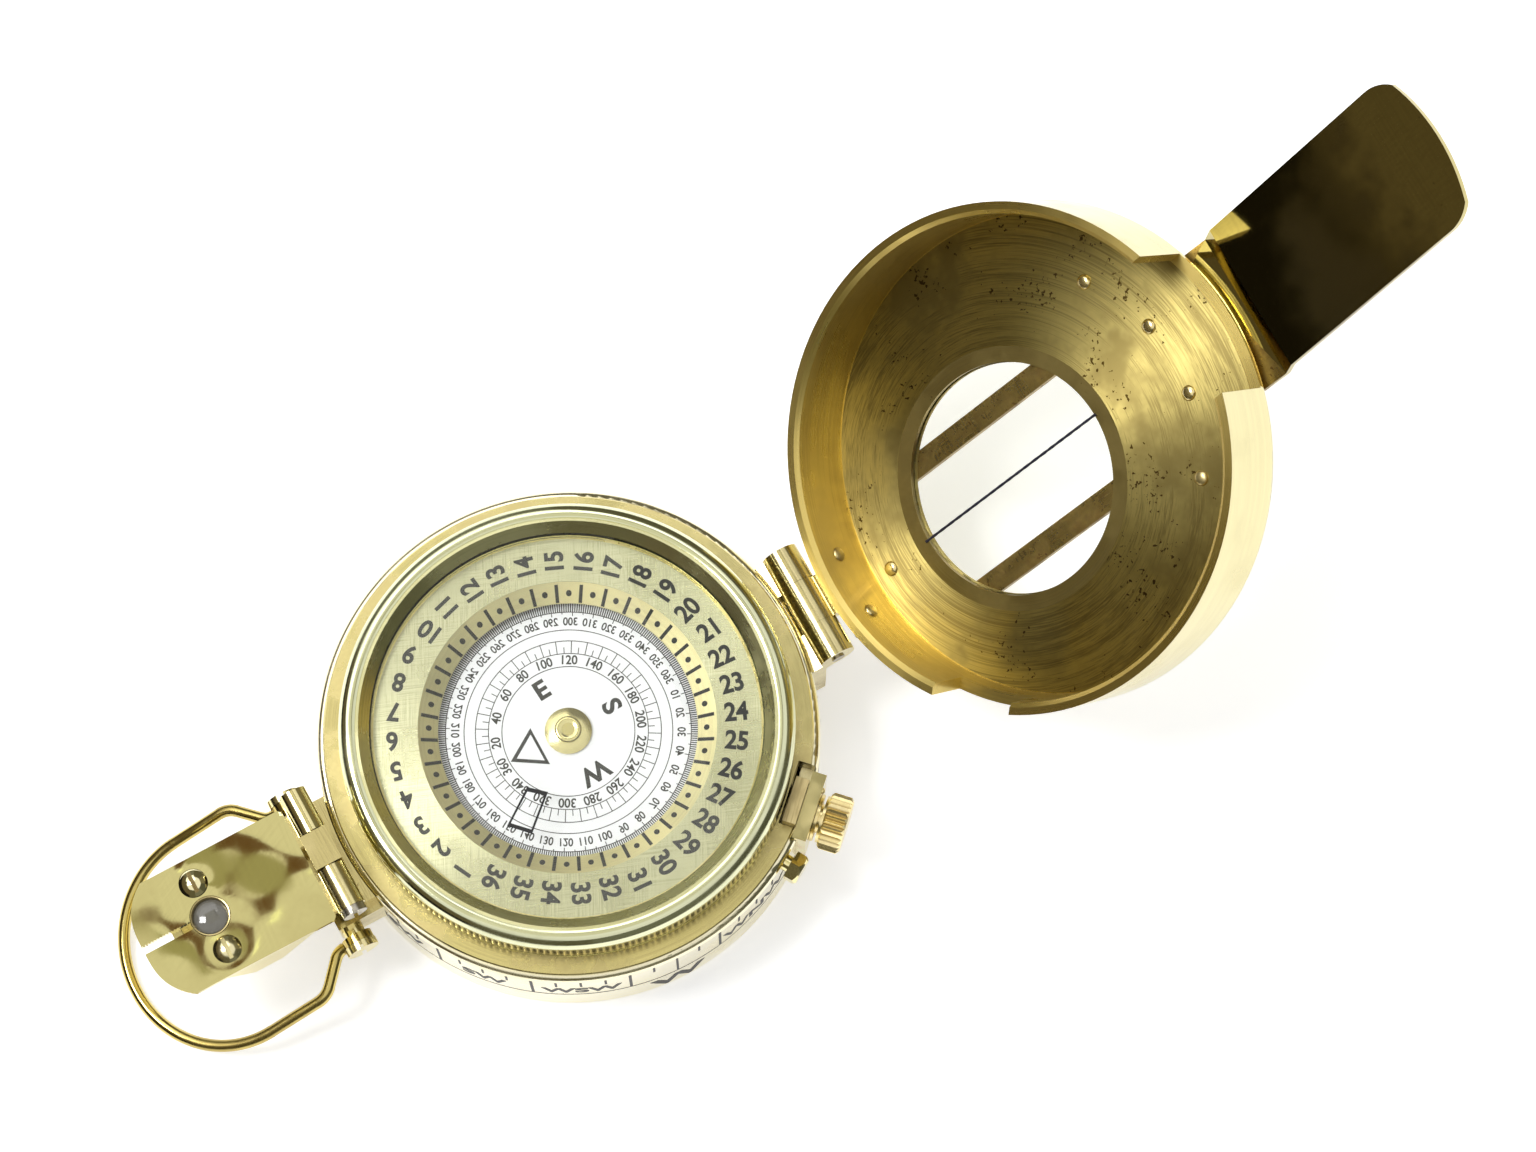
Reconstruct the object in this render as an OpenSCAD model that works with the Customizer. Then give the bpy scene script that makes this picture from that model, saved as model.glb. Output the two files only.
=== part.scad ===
// Prismatic pocket compass in brass: case, turning bezel, floating card, hinged lid and folding prism.
// Millimetres, +Z up, origin at the centre of the case's underside, +X towards the lid hinge, prism at -X.

/* [Case] */
// Outer radius of the case
case_r = 30; // [27:0.5:36]
// Height of the case up to the deck
case_h = 15.6; // [13.4:0.1:19]
// Thickness of the side wall
wall_t = 2.2; // [1.8:0.1:3]
// Thickness of the base plate
base_t = 1.6; // [1.2:0.1:2]
// Thickness of the deck
deck_t = 3.2; // [3:0.1:3.6]
// Width of the outer lip that shows round the deck
lip_w = 0.8; // [0.6:0.1:1]
// Height of the collar that carries the bezel
collar_h = 2.9; // [2.6:0.1:3.6]
// Width of the seat under the number ring
seat_w = 0.65; // [0.5:0.05:0.9]
// Chamfer of the lower edge
base_chamfer = 0.4; // [0.2:0.1:0.8]

/* [Dial] */
// Outer radius of the number ring
number_r = 22.95; // [21:0.05:25]
// Inner radius of the number ring
number_bore_r = 17.7; // [16.8:0.05:19]
// Thickness of the number ring
number_t = 0.8; // [0.6:0.1:1]
// Inner radius of the sloping scale ring
scale_bore_r = 15.4; // [14.6:0.1:16.2]
// Width that the scale ring reaches under the number ring
scale_reach = 1.8; // [1.2:0.1:2.4]
// Thickness of the scale ring under the number ring
scale_t = 0.95; // [0.7:0.05:1.1]
// Height that the scale ring rises over its slope
scale_rise = 1.3; // [0.8:0.1:1.4]

/* [Card] */
// Radius of the card
card_r = 15.9; // [14:0.1:17]
// Thickness of the card
card_t = 0.4; // [0.3:0.1:0.6]
// Depth of the card's face below the scale ring
card_drop = 0.95; // [0.8:0.05:1.4]
// Radius of the hub cap
hub_r = 2.8; // [2.2:0.1:3.4]
// Height of the hub cap
hub_h = 0.9; // [0.7:0.1:1.1]
// Length of a bar magnet
magnet_l = 16; // [12:0.5:20]
// Width of a bar magnet
magnet_w = 2.6; // [2:0.1:3]
// Thickness of a bar magnet
magnet_t = 1.5; // [1:0.1:2]
// Radius of the pivot post
post_r = 2.4; // [1.8:0.1:3]

/* [Bezel] */
// Outer radius of the bezel
bezel_r = 27; // [25.8:0.1:28]
// Height of the bezel above the deck
bezel_h = 5.8; // [5.4:0.1:7]
// Radius of the bezel's rolled rim
roll_r = 1.55; // [1.3:0.05:1.8]
// Width of the grooves that bound the milled band
groove_w = 0.3; // [0.15:0.05:0.4]
// Thickness of the bezel glass
glass_t = 0.9; // [0.7:0.1:1.2]
// Width of the ledge under the glass
ledge_w = 1.75; // [1.2:0.05:2]
// Thickness of the ledge under the glass
ledge_t = 0.55; // [0.4:0.05:0.8]
// Height of the bevelled ring over the glass
retainer_h = 1.1; // [0.8:0.1:1.2]

/* [Clamp and brake] */
// Direction of the clamp, seen from above
clamp_az = -46.5; // [-60:0.5:-40]
// Height of the clamp screw
clamp_z = 11.4; // [10:0.1:12]
// Radius of the clamp knob
knob_r = 3.5; // [3:0.1:4]
// Length of the clamp knob
knob_l = 2.8; // [2:0.1:4]
// Number of flutes on the knob
knob_flutes = 28; // [20:1:32]
// Radius of the clamp screw
screw_r = 1; // [0.8:0.05:1.2]
// Half width of the clamp shoe
shoe_hw = 2.8; // [2.2:0.1:3.2]
// Travel of the clamp shoe
shoe_travel = 0.4; // [0.2:0.05:0.5]
// Half width of the clamp bracket
strap_hw = 4.2; // [3.8:0.1:4.4]
// Thickness of the clamp bracket
strap_t = 0.9; // [0.7:0.05:1.1]
// Direction of the card brake, seen from above
brake_az = -59.5; // [-75:0.5:-59]
// Travel of the card brake
brake_travel = 0.6; // [0.4:0.05:0.7]
// Width across the flats of the brake's head
brake_af = 3.4; // [3:0.1:3.6]

/* [Lid] */
// Radius of the hinge knuckles
knuckle_r = 2.25; // [2:0.05:2.6]
// Half length of the whole hinge
hinge_hl = 7.3; // [6:0.1:9]
// Half length of the lid's knuckle
lid_knuckle_hl = 2.75; // [2.2:0.05:3.4]
// Radius of the hinge pin
pin_r = 0.8; // [0.7:0.05:1]
// Height of the lid
lid_h = 11.3; // [10:0.1:14]
// Thickness of the lid's wall
lid_wall = 1.4; // [1.1:0.1:2]
// Thickness of the lid's top
lid_top = 1.6; // [1.5:0.1:2]
// Radius of the lid's rounded edge
lid_round = 1.5; // [0.6:0.1:2.5]
// Angle that the lid stands open at rest
lid_open = 140.5; // [100:0.5:160]
// Distance of the lid window from the middle, towards the hinge
window_x = 5.6; // [0:0.1:7]
// Radius of the lid window
window_r = 13.8; // [10:0.1:15]
// Width of the ring round the lid window
window_ring = 2; // [1.5:0.1:2.4]
// Half width of the gap in the lid's wall over the prism
gap_hw = 9.2; // [8.6:0.1:10]
// Half angle of the notch in the lid's wall over the clamp
notch_ha = 10.2; // [9.6:0.1:12]
// Depth of the notch over the clamp
notch_d = 6.4; // [3:0.1:8]
// Radius of the hair line
hair_r = 0.12; // [0.08:0.01:0.2]

/* [Tongue] */
// Thickness of the tongue plate
tongue_t = 0.9; // [0.7:0.1:1.2]
// Half width of the tongue
tongue_hw = 9.2; // [8:0.1:9.4]
// Reach of the tongue beyond the lid
tongue_l = 35.5; // [28:0.5:40]
// Slope of the tongue, in degrees
tongue_slope = 13; // [8:0.5:14]
// Depth of the set-down behind the lid's edge
joggle_d = 2; // [1:0.1:2.4]
// Radius of the tongue's corners
tongue_corner = 5; // [2:0.5:8]
// Width of each arm across the lid window
arm_w = 2.8; // [2:0.1:4]
// Distance of each arm's middle from the sight line
arm_y = 8.6; // [6:0.1:10]

/* [Prism] */
// Height of the prism's hinge above the deck
rod_up = 6.2; // [6.1:0.1:6.6]
// Distance of the prism's hinge outside the case
rod_out = 2.3; // [2.2:0.1:2.8]
// Radius of the prism's knuckles
rod_r = 1.65; // [1.4:0.05:1.8]
// Half width of the hood plate
hood_hw = 7.4; // [6.6:0.1:8]
// Length of the hood plate
hood_l = 21.6; // [19:0.1:22]
// Thickness of the hood plate
hood_t = 0.8; // [0.6:0.1:1]
// Drop of the hood's face below the hinge
hood_drop = 3.1; // [2.9:0.1:3.4]
// Width of the sighting slot
slot_w = 0.9; // [0.6:0.1:1.6]
// Distance of the lens from the root of the hood plate
lens_x = 12.9; // [10:0.1:14]
// Radius of the lens
lens_r = 2.05; // [1.6:0.05:2.4]
// Half width of the prism box
box_hw = 6.4; // [5.6:0.1:6.9]
// Depth of the prism box
box_d = 9.5; // [7:0.1:10]
// Wall of the prism box
box_wall = 0.8; // [0.6:0.1:1]
// Half width of the slide
slide_hw = 3.6; // [3:0.1:4.4]
// Width of each rail beside the slide
rail_w = 2.9; // [2:0.1:3.2]
// Thickness of the slide
slide_t = 1.5; // [1.2:0.1:1.8]
// Travel of the slide
slide_travel = 5; // [2:0.5:5.5]

/* [Bail] */
// Radius of the bail's wire
wire_r = 0.75; // [0.6:0.05:0.9]
// Radius of the bail's bow, and half the distance between its sides
bow_r = 13; // [12.4:0.1:14]
// Distance of the bow's centre from the bail's pivot
bow_x = 15; // [14:0.1:18]
// Height of the bail's pivot
bail_z = 10.5; // [9:0.1:11]
// Radius of the bail's eyes
eye_r = 1.9; // [1.7:0.1:2.2]
// Thickness of the bail's eyes
eye_t = 1; // [0.8:0.1:1.2]
// Straight length of each leg beyond its eye
leg_l = 1.1; // [1:0.1:2]
// Angle at which each leg flares
flare = 45; // [40:1:60]

/* [Hidden] */
$fn = 96;
eps = 0.01; // overshoot of a cut
fit = 0.05; // radial clearance of a shaft or a sliding piece
gap = 0.3; // clearance between pieces that pass each other
brass = "goldenrod";
steel = "silver";

// heights of the dial, from the deck upwards
collar_top = case_h + collar_h;
number_z = collar_top - number_t;
scale_z = number_z - scale_t;
card_top = scale_z - card_drop;
card_z = card_top - card_t;
bezel_z = case_h + fit * 5;
bezel_top = case_h + bezel_h;
ledge_z = collar_top + fit * 3;
glass_z = ledge_z + ledge_t;
retainer_z = glass_z + glass_t;

// radii of the case
collar_r = number_r + 1.05;
seat_r = number_r - seat_w;
deck_r = case_r - lip_w;
cavity_r = case_r - wall_t;
base_r = cavity_r + 0.8;
glass_r = collar_r + 0.95;
lip_round = lip_w;

// clamp
pocket_in = bezel_r + 0.1;
pocket_more = 2.3;
shoe_in = pocket_in + shoe_travel + fit;
shoe_out = deck_r - fit;
strap_z = clamp_z - 4.6;
strap_top = case_h + strap_t;
collar_in = case_r + strap_t + fit;
knob_in = collar_in + 1.05;
flange_r = knob_r - 0.6;
flange_t = 0.35;

// brake
brake_z = case_h - 1.75;
brake_r = 1;
brake_gap = brake_travel + 0.15;
pad_in = card_r + brake_gap;

// lid, drawn closed and then swung open
hinge_x = case_r + knuckle_r + gap + fit;
hinge_z = case_h - gap;
rim_z = case_h + fit;
lid_r = case_r - 0.1;
lid_bore = lid_r - lid_wall;
lid_plate_r = min(lid_bore, lid_r - lid_round);
lid_z = rim_z + lid_h;
ceiling_z = lid_z - lid_top;
pane_r = window_r + window_ring;
pane_lip = 0.5;
pane_t = 0.55;
leaf_t = 1.1;
leaf_hw = 6;

// tongue
bend_x = -lid_r - 1.3;
step_x = bend_x - joggle_d;
tip_x = -lid_r - tongue_l;
step_z = lid_z - joggle_d;
tip_z = step_z + (tip_x - step_x) * tan(tongue_slope);
crescent_hw = 16;
plate_r = lid_r - lid_round + 0.1;
end_r = 2.3 * tongue_hw;

// driver slots in the heads of screws
driver_w = 0.5;
driver_d = 0.4;

// screws of the hood plate
shank_r = 0.8;
dome_r = 1.7;
dome_h = 0.75;
dome_ball = (dome_r * dome_r + dome_h * dome_h) / (2 * dome_h);
screw_y = lens_r + dome_r + 0.7;

// prism carriage
rod_x = -case_r - rod_out;
rod_z = case_h + rod_up;
hood_x = rod_x - 2.1;
hood_top = rod_z - hood_drop;
hood_z = hood_top - hood_t;
rail_x = -case_r - 1.6;
rail_z = 2.5;
rail_top = case_h - 0.1;
rail_root = 1.6 - case_r;
slide_x = rail_x - fit;
bridge_x = slide_x - slide_t - fit;
bridge_t = 1.7;
bridge_z = bail_z - 2.7;
bridge_h = 5.4;
rail_hw = slide_hw + fit + rail_w;
block_hw = rail_hw + 1.1;
neck_hw = 2.2;
slide_low = 5;
slide_high = bridge_z + bridge_h + 1.2;
arm_in = neck_hw + 0.15;
rod_hw = hood_hw + 0.3;
bail_x = rail_x - 1.8;
screw_depth = 3;

// bail: each leg runs straight, flares, and bends back into a side of the bow
eye_y = block_hw + 1 + eye_t / 2;
head_r = eye_r + 0.1;
leg_x = eye_r + leg_l;
leg_bend = 2;
side_bend = 3;
leg_cut = leg_bend * tan(flare / 2);
side_cut = side_bend * tan(flare / 2);
rise = bow_r - eye_y;
side_x = leg_x + rise / tan(flare);
leg_r = wire_r - 0.02; // a straight piece seats inside the ends of its bends
lap = 0.15;
bail_drop = asin((bail_z - wire_r - 0.03) / (bow_x + bow_r));

// points of a fluted outline: pairs of crests and roots round a circle
function fluted(r, d, n) = [for (i = [0 : 2 * n - 1])
    let (a = 180 * i / n, q = (i % 2 == 0) ? r : r - d) [q * cos(a), q * sin(a)]];

// a ring or disc turned about Z
module ring(r_out, r_in, z_low, z_high) {
    translate([0, 0, z_low]) difference() {
        cylinder(r = r_out, h = z_high - z_low);
        if (r_in > 0) translate([0, 0, -1]) cylinder(r = r_in, h = z_high - z_low + 2);
    }
}

// turns what points along +X to a direction seen from above, at a height
module at_azimuth(a, z) { rotate([0, 0, a]) translate([0, 0, z]) children(); }

// a block between two opposite corners
module block(a, b) { translate(a) cube(b - a); }

// a round bar along +X between two distances
module bar_x(r, a, b) { translate([a, 0, 0]) rotate([0, 90, 0]) cylinder(r = r, h = b - a); }

// a round bar along Y between two distances, at a place in the XZ plane
module bar_y(r, x, z, a, b) { translate([x, b, z]) rotate([90, 0, 0]) cylinder(r = r, h = b - a); }

// an outline in X and Z, given a width along Y
module side_plate(a, b) { translate([0, b, 0]) rotate([90, 0, 0]) linear_extrude(b - a) children(); }

// carries the closed lid to the angle at which it stands open
module swung() {
    translate([hinge_x, 0, hinge_z]) rotate([0, lid_open, 0]) translate([-hinge_x, 0, -hinge_z]) children();
}

// the space that the case fills, cut finely from the thin pieces fastened to its wall
module case_space(h) { translate([0, 0, -1]) cylinder(r = case_r, h = h + 1, $fn = 4 * $fn); }

// the pocket for the clamp shoe, cut through deck and wall
module clamp_pocket() {
    at_azimuth(clamp_az, 0)
        block([pocket_in, -shoe_hw - fit, clamp_z - 2], [deck_r, shoe_hw + pocket_more, 2 * case_h]);
}

// the drillings for the clamp screw and the brake's stem
module side_drillings() {
    at_azimuth(clamp_az, clamp_z) bar_x(screw_r + fit, deck_r - 2, case_r + 1);
    at_azimuth(brake_az, brake_z) bar_x(brake_r + fit, seat_r - 2, case_r + 1);
}

// ---- case ----
module case_shell() {
    color(brass) difference() {
        rotate_extrude() difference() {
            union() {
                polygon([[cavity_r, base_chamfer], [base_r, 0], [case_r - base_chamfer, 0],
                    [case_r, base_chamfer], [case_r, case_h - lip_round - 0.2],
                    [cavity_r, case_h - lip_round - 0.2]]);
                intersection() {
                    translate([case_r - lip_round, case_h - lip_round - 0.2]) circle(r = lip_round);
                    translate([case_r - lip_round, case_h - lip_round - 0.2]) square(lip_round);
                }
            }
            translate([0, case_h - deck_t]) square([deck_r, deck_t + 1]);
            translate([0, -1]) square([base_r, base_t + 1]);
        }
        clamp_pocket();
        side_drillings();
    }
}

module deck_ring() {
    color(brass) difference() {
        rotate_extrude() polygon([[seat_r, case_h - deck_t], [deck_r, case_h - deck_t],
            [deck_r, case_h - 0.15], [deck_r - 0.15, case_h], [collar_r, case_h], [collar_r, collar_top],
            [number_r, collar_top], [number_r, number_z], [seat_r, number_z]]);
        clamp_pocket();
        side_drillings();
    }
}

module base_plate() { color(brass) ring(base_r, 0, 0, base_t); }

// ---- dial ----
module number_ring() { color("palegoldenrod") ring(number_r, number_bore_r, number_z, collar_top); }

module scale_ring() {
    color("khaki") rotate_extrude() polygon([[scale_bore_r, scale_z],
        [number_bore_r + scale_reach, scale_z], [number_bore_r + scale_reach, number_z],
        [number_bore_r, number_z],
        [number_bore_r, scale_z + 0.35 + scale_rise], [scale_bore_r, scale_z + 0.35]]);
}

module pivot_post() {
    color(steel) {
        ring(post_r, 0, base_t, card_z - 4.5);
        translate([0, 0, card_z - 4.5]) cylinder(r = post_r / 2, h = 1.5);
        translate([0, 0, card_z - 3]) cylinder(r1 = 0.55, r2 = 0.08, h = 3.1);
    }
}

// ---- card ----
module card_disc() { color("white") ring(card_r, 1.5, card_z, card_top); }

module card_hub() {
    color(brass) {
        rotate_extrude() intersection() {
            translate([0, card_top]) square([hub_r, hub_h]);
            translate([0, card_top + hub_h - 2.4 * hub_r]) circle(r = 2.4 * hub_r);
        }
        ring(1.3, 0, card_top + hub_h - 0.1, card_top + hub_h + 0.25);
    }
}

module card_magnets() {
    color("dimgray") for (s = [-1, 1])
        translate([-magnet_l / 2, s * (post_r + 1.6) - magnet_w / 2, card_z - magnet_t])
            cube([magnet_l, magnet_w, magnet_t]);
}

module card_jewel() {
    color("firebrick") difference() {
        ring(1.5, 0, card_z - 1.2, card_top);
        translate([0, 0, card_z - 1.2 - eps]) cylinder(r1 = 0.9, r2 = 0.2, h = 1.45);
    }
}

// ---- bezel ----
module bezel_ring() {
    color(brass) rotate_extrude() difference() {
        union() {
            translate([glass_r - ledge_w, ledge_z]) square([bezel_r - roll_r - glass_r + ledge_w, ledge_t]);
            translate([collar_r + fit, bezel_z])
                square([bezel_r - collar_r - fit, bezel_top - roll_r - bezel_z]);
            translate([bezel_r - roll_r, bezel_top - roll_r]) circle(r = roll_r);
        }
        translate([0, glass_z]) square([glass_r, bezel_h]);
        square([collar_r + fit, ledge_z]);
        // grooves that bound the milled band
        for (z = [bezel_z + 0.25, bezel_top - roll_r - 0.05])
            translate([bezel_r, z]) rotate(45) square(groove_w, center = true);
    }
}

module bezel_glass() { color("lightcyan", 0.4) ring(glass_r, 0, glass_z, retainer_z); }

module bezel_retainer() {
    color(brass) rotate_extrude() polygon([[glass_r - 1.6, retainer_z], [glass_r, retainer_z],
        [glass_r, retainer_z + retainer_h], [glass_r - 0.4, retainer_z + retainer_h]]);
}

// ---- clamp and brake ----
module clamp_bracket() {
    color(brass) difference() {
        at_azimuth(clamp_az, 0) {
            block([case_r - 0.6, -strap_hw, strap_z], [case_r + strap_t, strap_hw, strap_top]);
            block([deck_r, -strap_hw, case_h], [case_r + strap_t, strap_hw, strap_top]);
        }
        case_space(case_h);
        at_azimuth(clamp_az, clamp_z) bar_x(screw_r + fit, case_r - 2, case_r + 3);
    }
}

module clamp_shoe() {
    color(brass) at_azimuth(clamp_az, 0)
        block([shoe_in, -shoe_hw, clamp_z - 1.9], [shoe_out, shoe_hw, case_h + 2]);
}

// the nut on its screw, whose tip bears on the shoe, with a groove between two flanges
module clamp_knob() {
    color(brass) at_azimuth(clamp_az, clamp_z) {
        bar_x(screw_r, shoe_out + fit, knob_in);
        bar_x(screw_r + 0.8, collar_in, knob_in);
        for (x = [collar_in, knob_in - flange_t]) bar_x(flange_r, x, x + flange_t);
        translate([knob_in, 0, 0]) rotate([0, 90, 0]) intersection() {
            linear_extrude(knob_l) polygon(fluted(knob_r, 0.35, knob_flutes));
            union() {
                cylinder(r1 = knob_r - 0.3, r2 = knob_r + 0.1, h = 0.4);
                translate([0, 0, 0.4]) cylinder(r = knob_r + 0.1, h = knob_l - 0.9);
                translate([0, 0, knob_l - 0.5]) cylinder(r1 = knob_r + 0.1, r2 = knob_r - 0.4, h = 0.5);
            }
        }
    }
}

module brake_plunger() {
    color(brass) at_azimuth(brake_az, brake_z) {
        bar_x(brake_r, pad_in + 0.6, case_r + brake_gap + 0.2);
        translate([pad_in, -1.6, card_top + 0.3 - brake_z - 3.1]) cube([0.9, 3.2, 3.1]);
        translate([case_r + brake_gap, 0, 0]) rotate([0, 90, 0]) intersection() {
            cylinder(r = brake_af / sqrt(3), h = 1.6, $fn = 6);
            union() {
                cylinder(r = brake_af, h = 1.1);
                translate([0, 0, 1.1]) cylinder(r1 = brake_af / sqrt(3), r2 = brake_af / 2 - 0.15, h = 0.5);
            }
        }
    }
}

// ---- hinge of the lid ----
module case_hinge() {
    color(brass) difference() {
        union() {
            for (s = [-1, 1]) {
                y_in = lid_knuckle_hl + fit;
                y0 = (s > 0) ? y_in : -hinge_hl;
                bar_y(knuckle_r, hinge_x, hinge_z, y0, y0 + hinge_hl - y_in);
                side_plate(y0, y0 + hinge_hl - y_in) polygon([[case_r - 1, hinge_z - knuckle_r - 1],
                    [hinge_x - 0.4, hinge_z - knuckle_r], [hinge_x, hinge_z], [case_r - 1, hinge_z - 1.2]]);
            }
            block([case_r - 1, -hinge_hl, 3.4], [case_r + 1.1, hinge_hl, hinge_z - knuckle_r - gap]);
        }
        case_space(case_h);
        bar_y(pin_r, hinge_x, hinge_z, -hinge_hl - 1, hinge_hl + 1);
    }
}

module hinge_pin() { color(steel) bar_y(pin_r, hinge_x, hinge_z, -hinge_hl - 0.2, hinge_hl + 0.2); }

// ---- lid: a wall with a rounded edge, and the plate that closes it ----
module lid_shell() {
    color(brass) swung() difference() {
        rotate_extrude() difference() {
            union() {
                translate([0, rim_z]) square([lid_r, lid_h - lid_round]);
                translate([0, rim_z]) square([lid_r - lid_round, lid_h]);
                translate([lid_r - lid_round, lid_z - lid_round]) circle(r = lid_round);
            }
            polygon([[0, rim_z - 1], [lid_bore + 0.5, rim_z - 1], [lid_bore + 0.5, rim_z],
                [lid_bore, rim_z + 0.5], [lid_bore, ceiling_z], [lid_plate_r, ceiling_z],
                [lid_plate_r, lid_z + 1], [0, lid_z + 1]]);
        }
        translate([-lid_r - 1, -gap_hw, rim_z - 1]) cube([lid_wall + 4, 2 * gap_hw, lid_h - lid_top + 0.7]);
        clamp_notch();
    }
}

module lid_plate() {
    color(brass) swung() difference() {
        ring(lid_plate_r, 0, ceiling_z, lid_z);
        translate([window_x, 0, ceiling_z - 1]) cylinder(r = window_r, h = lid_top + 2);
        translate([window_x, 0, ceiling_z - 1]) cylinder(r = pane_r, h = 1 + lid_top - pane_lip);
    }
}

// the notch over the clamp, as wide as its angle at the lid's wall
module clamp_notch() {
    half_w = lid_r * sin(notch_ha);
    at_azimuth(clamp_az, 0) translate([lid_bore - 2, -half_w, rim_z - 1])
        cube([lid_wall + 4, 2 * half_w, notch_d + 1]);
}

module lid_hinge() {
    color(brass) swung() difference() {
        union() {
            bar_y(knuckle_r, hinge_x, hinge_z, -lid_knuckle_hl, lid_knuckle_hl);
            translate([lid_r - 2, -lid_knuckle_hl + fit, rim_z + 0.15])
                cube([2 + leaf_t, 2 * lid_knuckle_hl - 2 * fit, knuckle_r + 1]);
            translate([lid_r - 2, -leaf_hw, rim_z + knuckle_r + 0.6])
                cube([2 + leaf_t, 2 * leaf_hw, lid_h - knuckle_r - 0.6]);
            translate([lid_r - 6.4, -leaf_hw, lid_z]) cube([6.4 + leaf_t, 2 * leaf_hw, tongue_t]);
        }
        translate([0, 0, rim_z - 1]) cylinder(r = lid_r, h = lid_h - lid_round + 1);
        translate([0, 0, rim_z - 1]) cylinder(r = lid_r - lid_round, h = lid_h + 1);
        rotate_extrude() translate([lid_r - lid_round, lid_z - lid_round]) circle(r = lid_round);
        bar_y(pin_r + fit, hinge_x, hinge_z, -lid_knuckle_hl - 1, lid_knuckle_hl + 1);
    }
}

module lid_glass() {
    color("lightcyan", 0.4) swung() translate([window_x, 0, 0])
        ring(pane_r, 0, lid_z - pane_lip - pane_t, lid_z - pane_lip);
}

module lid_glass_ring() {
    color(brass) swung() translate([window_x, 0, 0])
        ring(pane_r, window_r + 0.1, ceiling_z, lid_z - pane_lip - pane_t);
}

module hairline() {
    color("black") swung() translate([window_x, 0, ceiling_z - hair_r])
        bar_x(hair_r, -window_r - 1.2, window_r + 1.2);
}

// ---- tongue: plate on the lid, set down behind its edge, with two arms across the window ----
module tongue_plate() {
    color(brass) swung() {
        translate([0, 0, lid_z]) linear_extrude(tongue_t) {
            difference() {
                circle(r = plate_r);
                translate([window_x, 0]) circle(r = window_r + 0.8);
                translate([-9.5, -lid_r]) square(2 * lid_r);
                for (y = [crescent_hw, -crescent_hw - lid_r]) translate([-lid_r, y]) square(lid_r);
            }
            for (s = [-1, 1]) translate([-14, s * arm_y - arm_w / 2])
                square([window_x + window_r + 17.4, arm_w]);
        }
        intersection() {
            side_plate(-tongue_hw, tongue_hw) polygon([[1 - plate_r, lid_z], [1 - plate_r, lid_z + tongue_t],
                [bend_x - 0.1, lid_z + tongue_t], [step_x - 0.1, step_z + tongue_t],
                [tip_x, tip_z + tongue_t], [tip_x, tip_z], [step_x, step_z], [bend_x, lid_z]]);
            linear_extrude(lid_z + 5) tongue_outline();
        }
    }
}

// plan of the tongue, with round corners and a curved end
module tongue_outline() {
    in_y = tongue_hw - tongue_corner;
    intersection() {
        union() {
            translate([tip_x + tongue_corner, -tongue_hw]) square([tongue_l, 2 * tongue_hw]);
            translate([tip_x, -in_y]) square([tongue_l, 2 * in_y]);
            for (s = [-1, 1]) translate([tip_x + tongue_corner, s * in_y]) circle(r = tongue_corner);
        }
        translate([tip_x + end_r, 0]) circle(r = end_r);
    }
}

// ---- prism carriage ----
module prism_bracket() {
    color(brass) difference() {
        union() {
            block([rail_x, -rail_hw, rail_z], [rail_root, rail_hw, rail_top]);
            for (s = [0, 1]) mirror([0, s, 0]) {
                block([bridge_x - fit, slide_hw + fit, rail_z + 1.6], [rail_root, rail_hw, rail_top]);
                block([bridge_x - bridge_t, slide_hw + fit, bridge_z],
                    [rail_root, block_hw, bridge_z + bridge_h]);
            }
            block([bridge_x - bridge_t, -block_hw, bridge_z], [bridge_x, block_hw, bridge_z + bridge_h]);
        }
        case_space(case_h + 1);
        for (s = [0, 1]) mirror([0, s, 0])
            bar_y(pin_r, bail_x, bail_z, block_hw - screw_depth, block_hw + 1);
    }
}

module prism_slide() {
    color(brass) difference() {
        union() {
            block([slide_x - slide_t, -slide_hw, slide_low], [slide_x, slide_hw, slide_high]);
            block([slide_x - slide_t, -neck_hw, slide_low], [slide_x, neck_hw, rod_z]);
            block([rod_x - rod_r, -neck_hw, rod_z - rod_r], [rod_x + rod_r, neck_hw, rod_z + rod_r]);
        }
        bar_y(pin_r + fit, rod_x, rod_z, -neck_hw - 1, neck_hw + 1);
    }
}

module prism_pin() {
    color(steel) {
        bar_y(pin_r, rod_x, rod_z, -rod_hw, rod_hw + 0.2);
        difference() {
            bar_y(rod_r - 0.15, rod_x, rod_z, -rod_hw - 0.9, -rod_hw);
            block([rod_x - driver_w / 2, -rod_hw - 2, rod_z - 3],
                [rod_x + driver_w / 2, driver_d - rod_hw - 0.9, rod_z + 3]);
        }
    }
}

// outline of the prism box seen from the side, drawn inwards by a wall
module box_outline(w) {
    top = hood_z;
    low = hood_z - box_d;
    x_in = hood_x - 0.5;
    polygon([[x_in - w, top], [x_in - w, top - 2.3 + w * 0.4], [x_in - 7.3 - w * 0.4, low + w],
        [x_in - 10.9 + w * 0.5, low + w], [x_in - 17.3 + w * 1.4, top]]);
}

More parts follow.
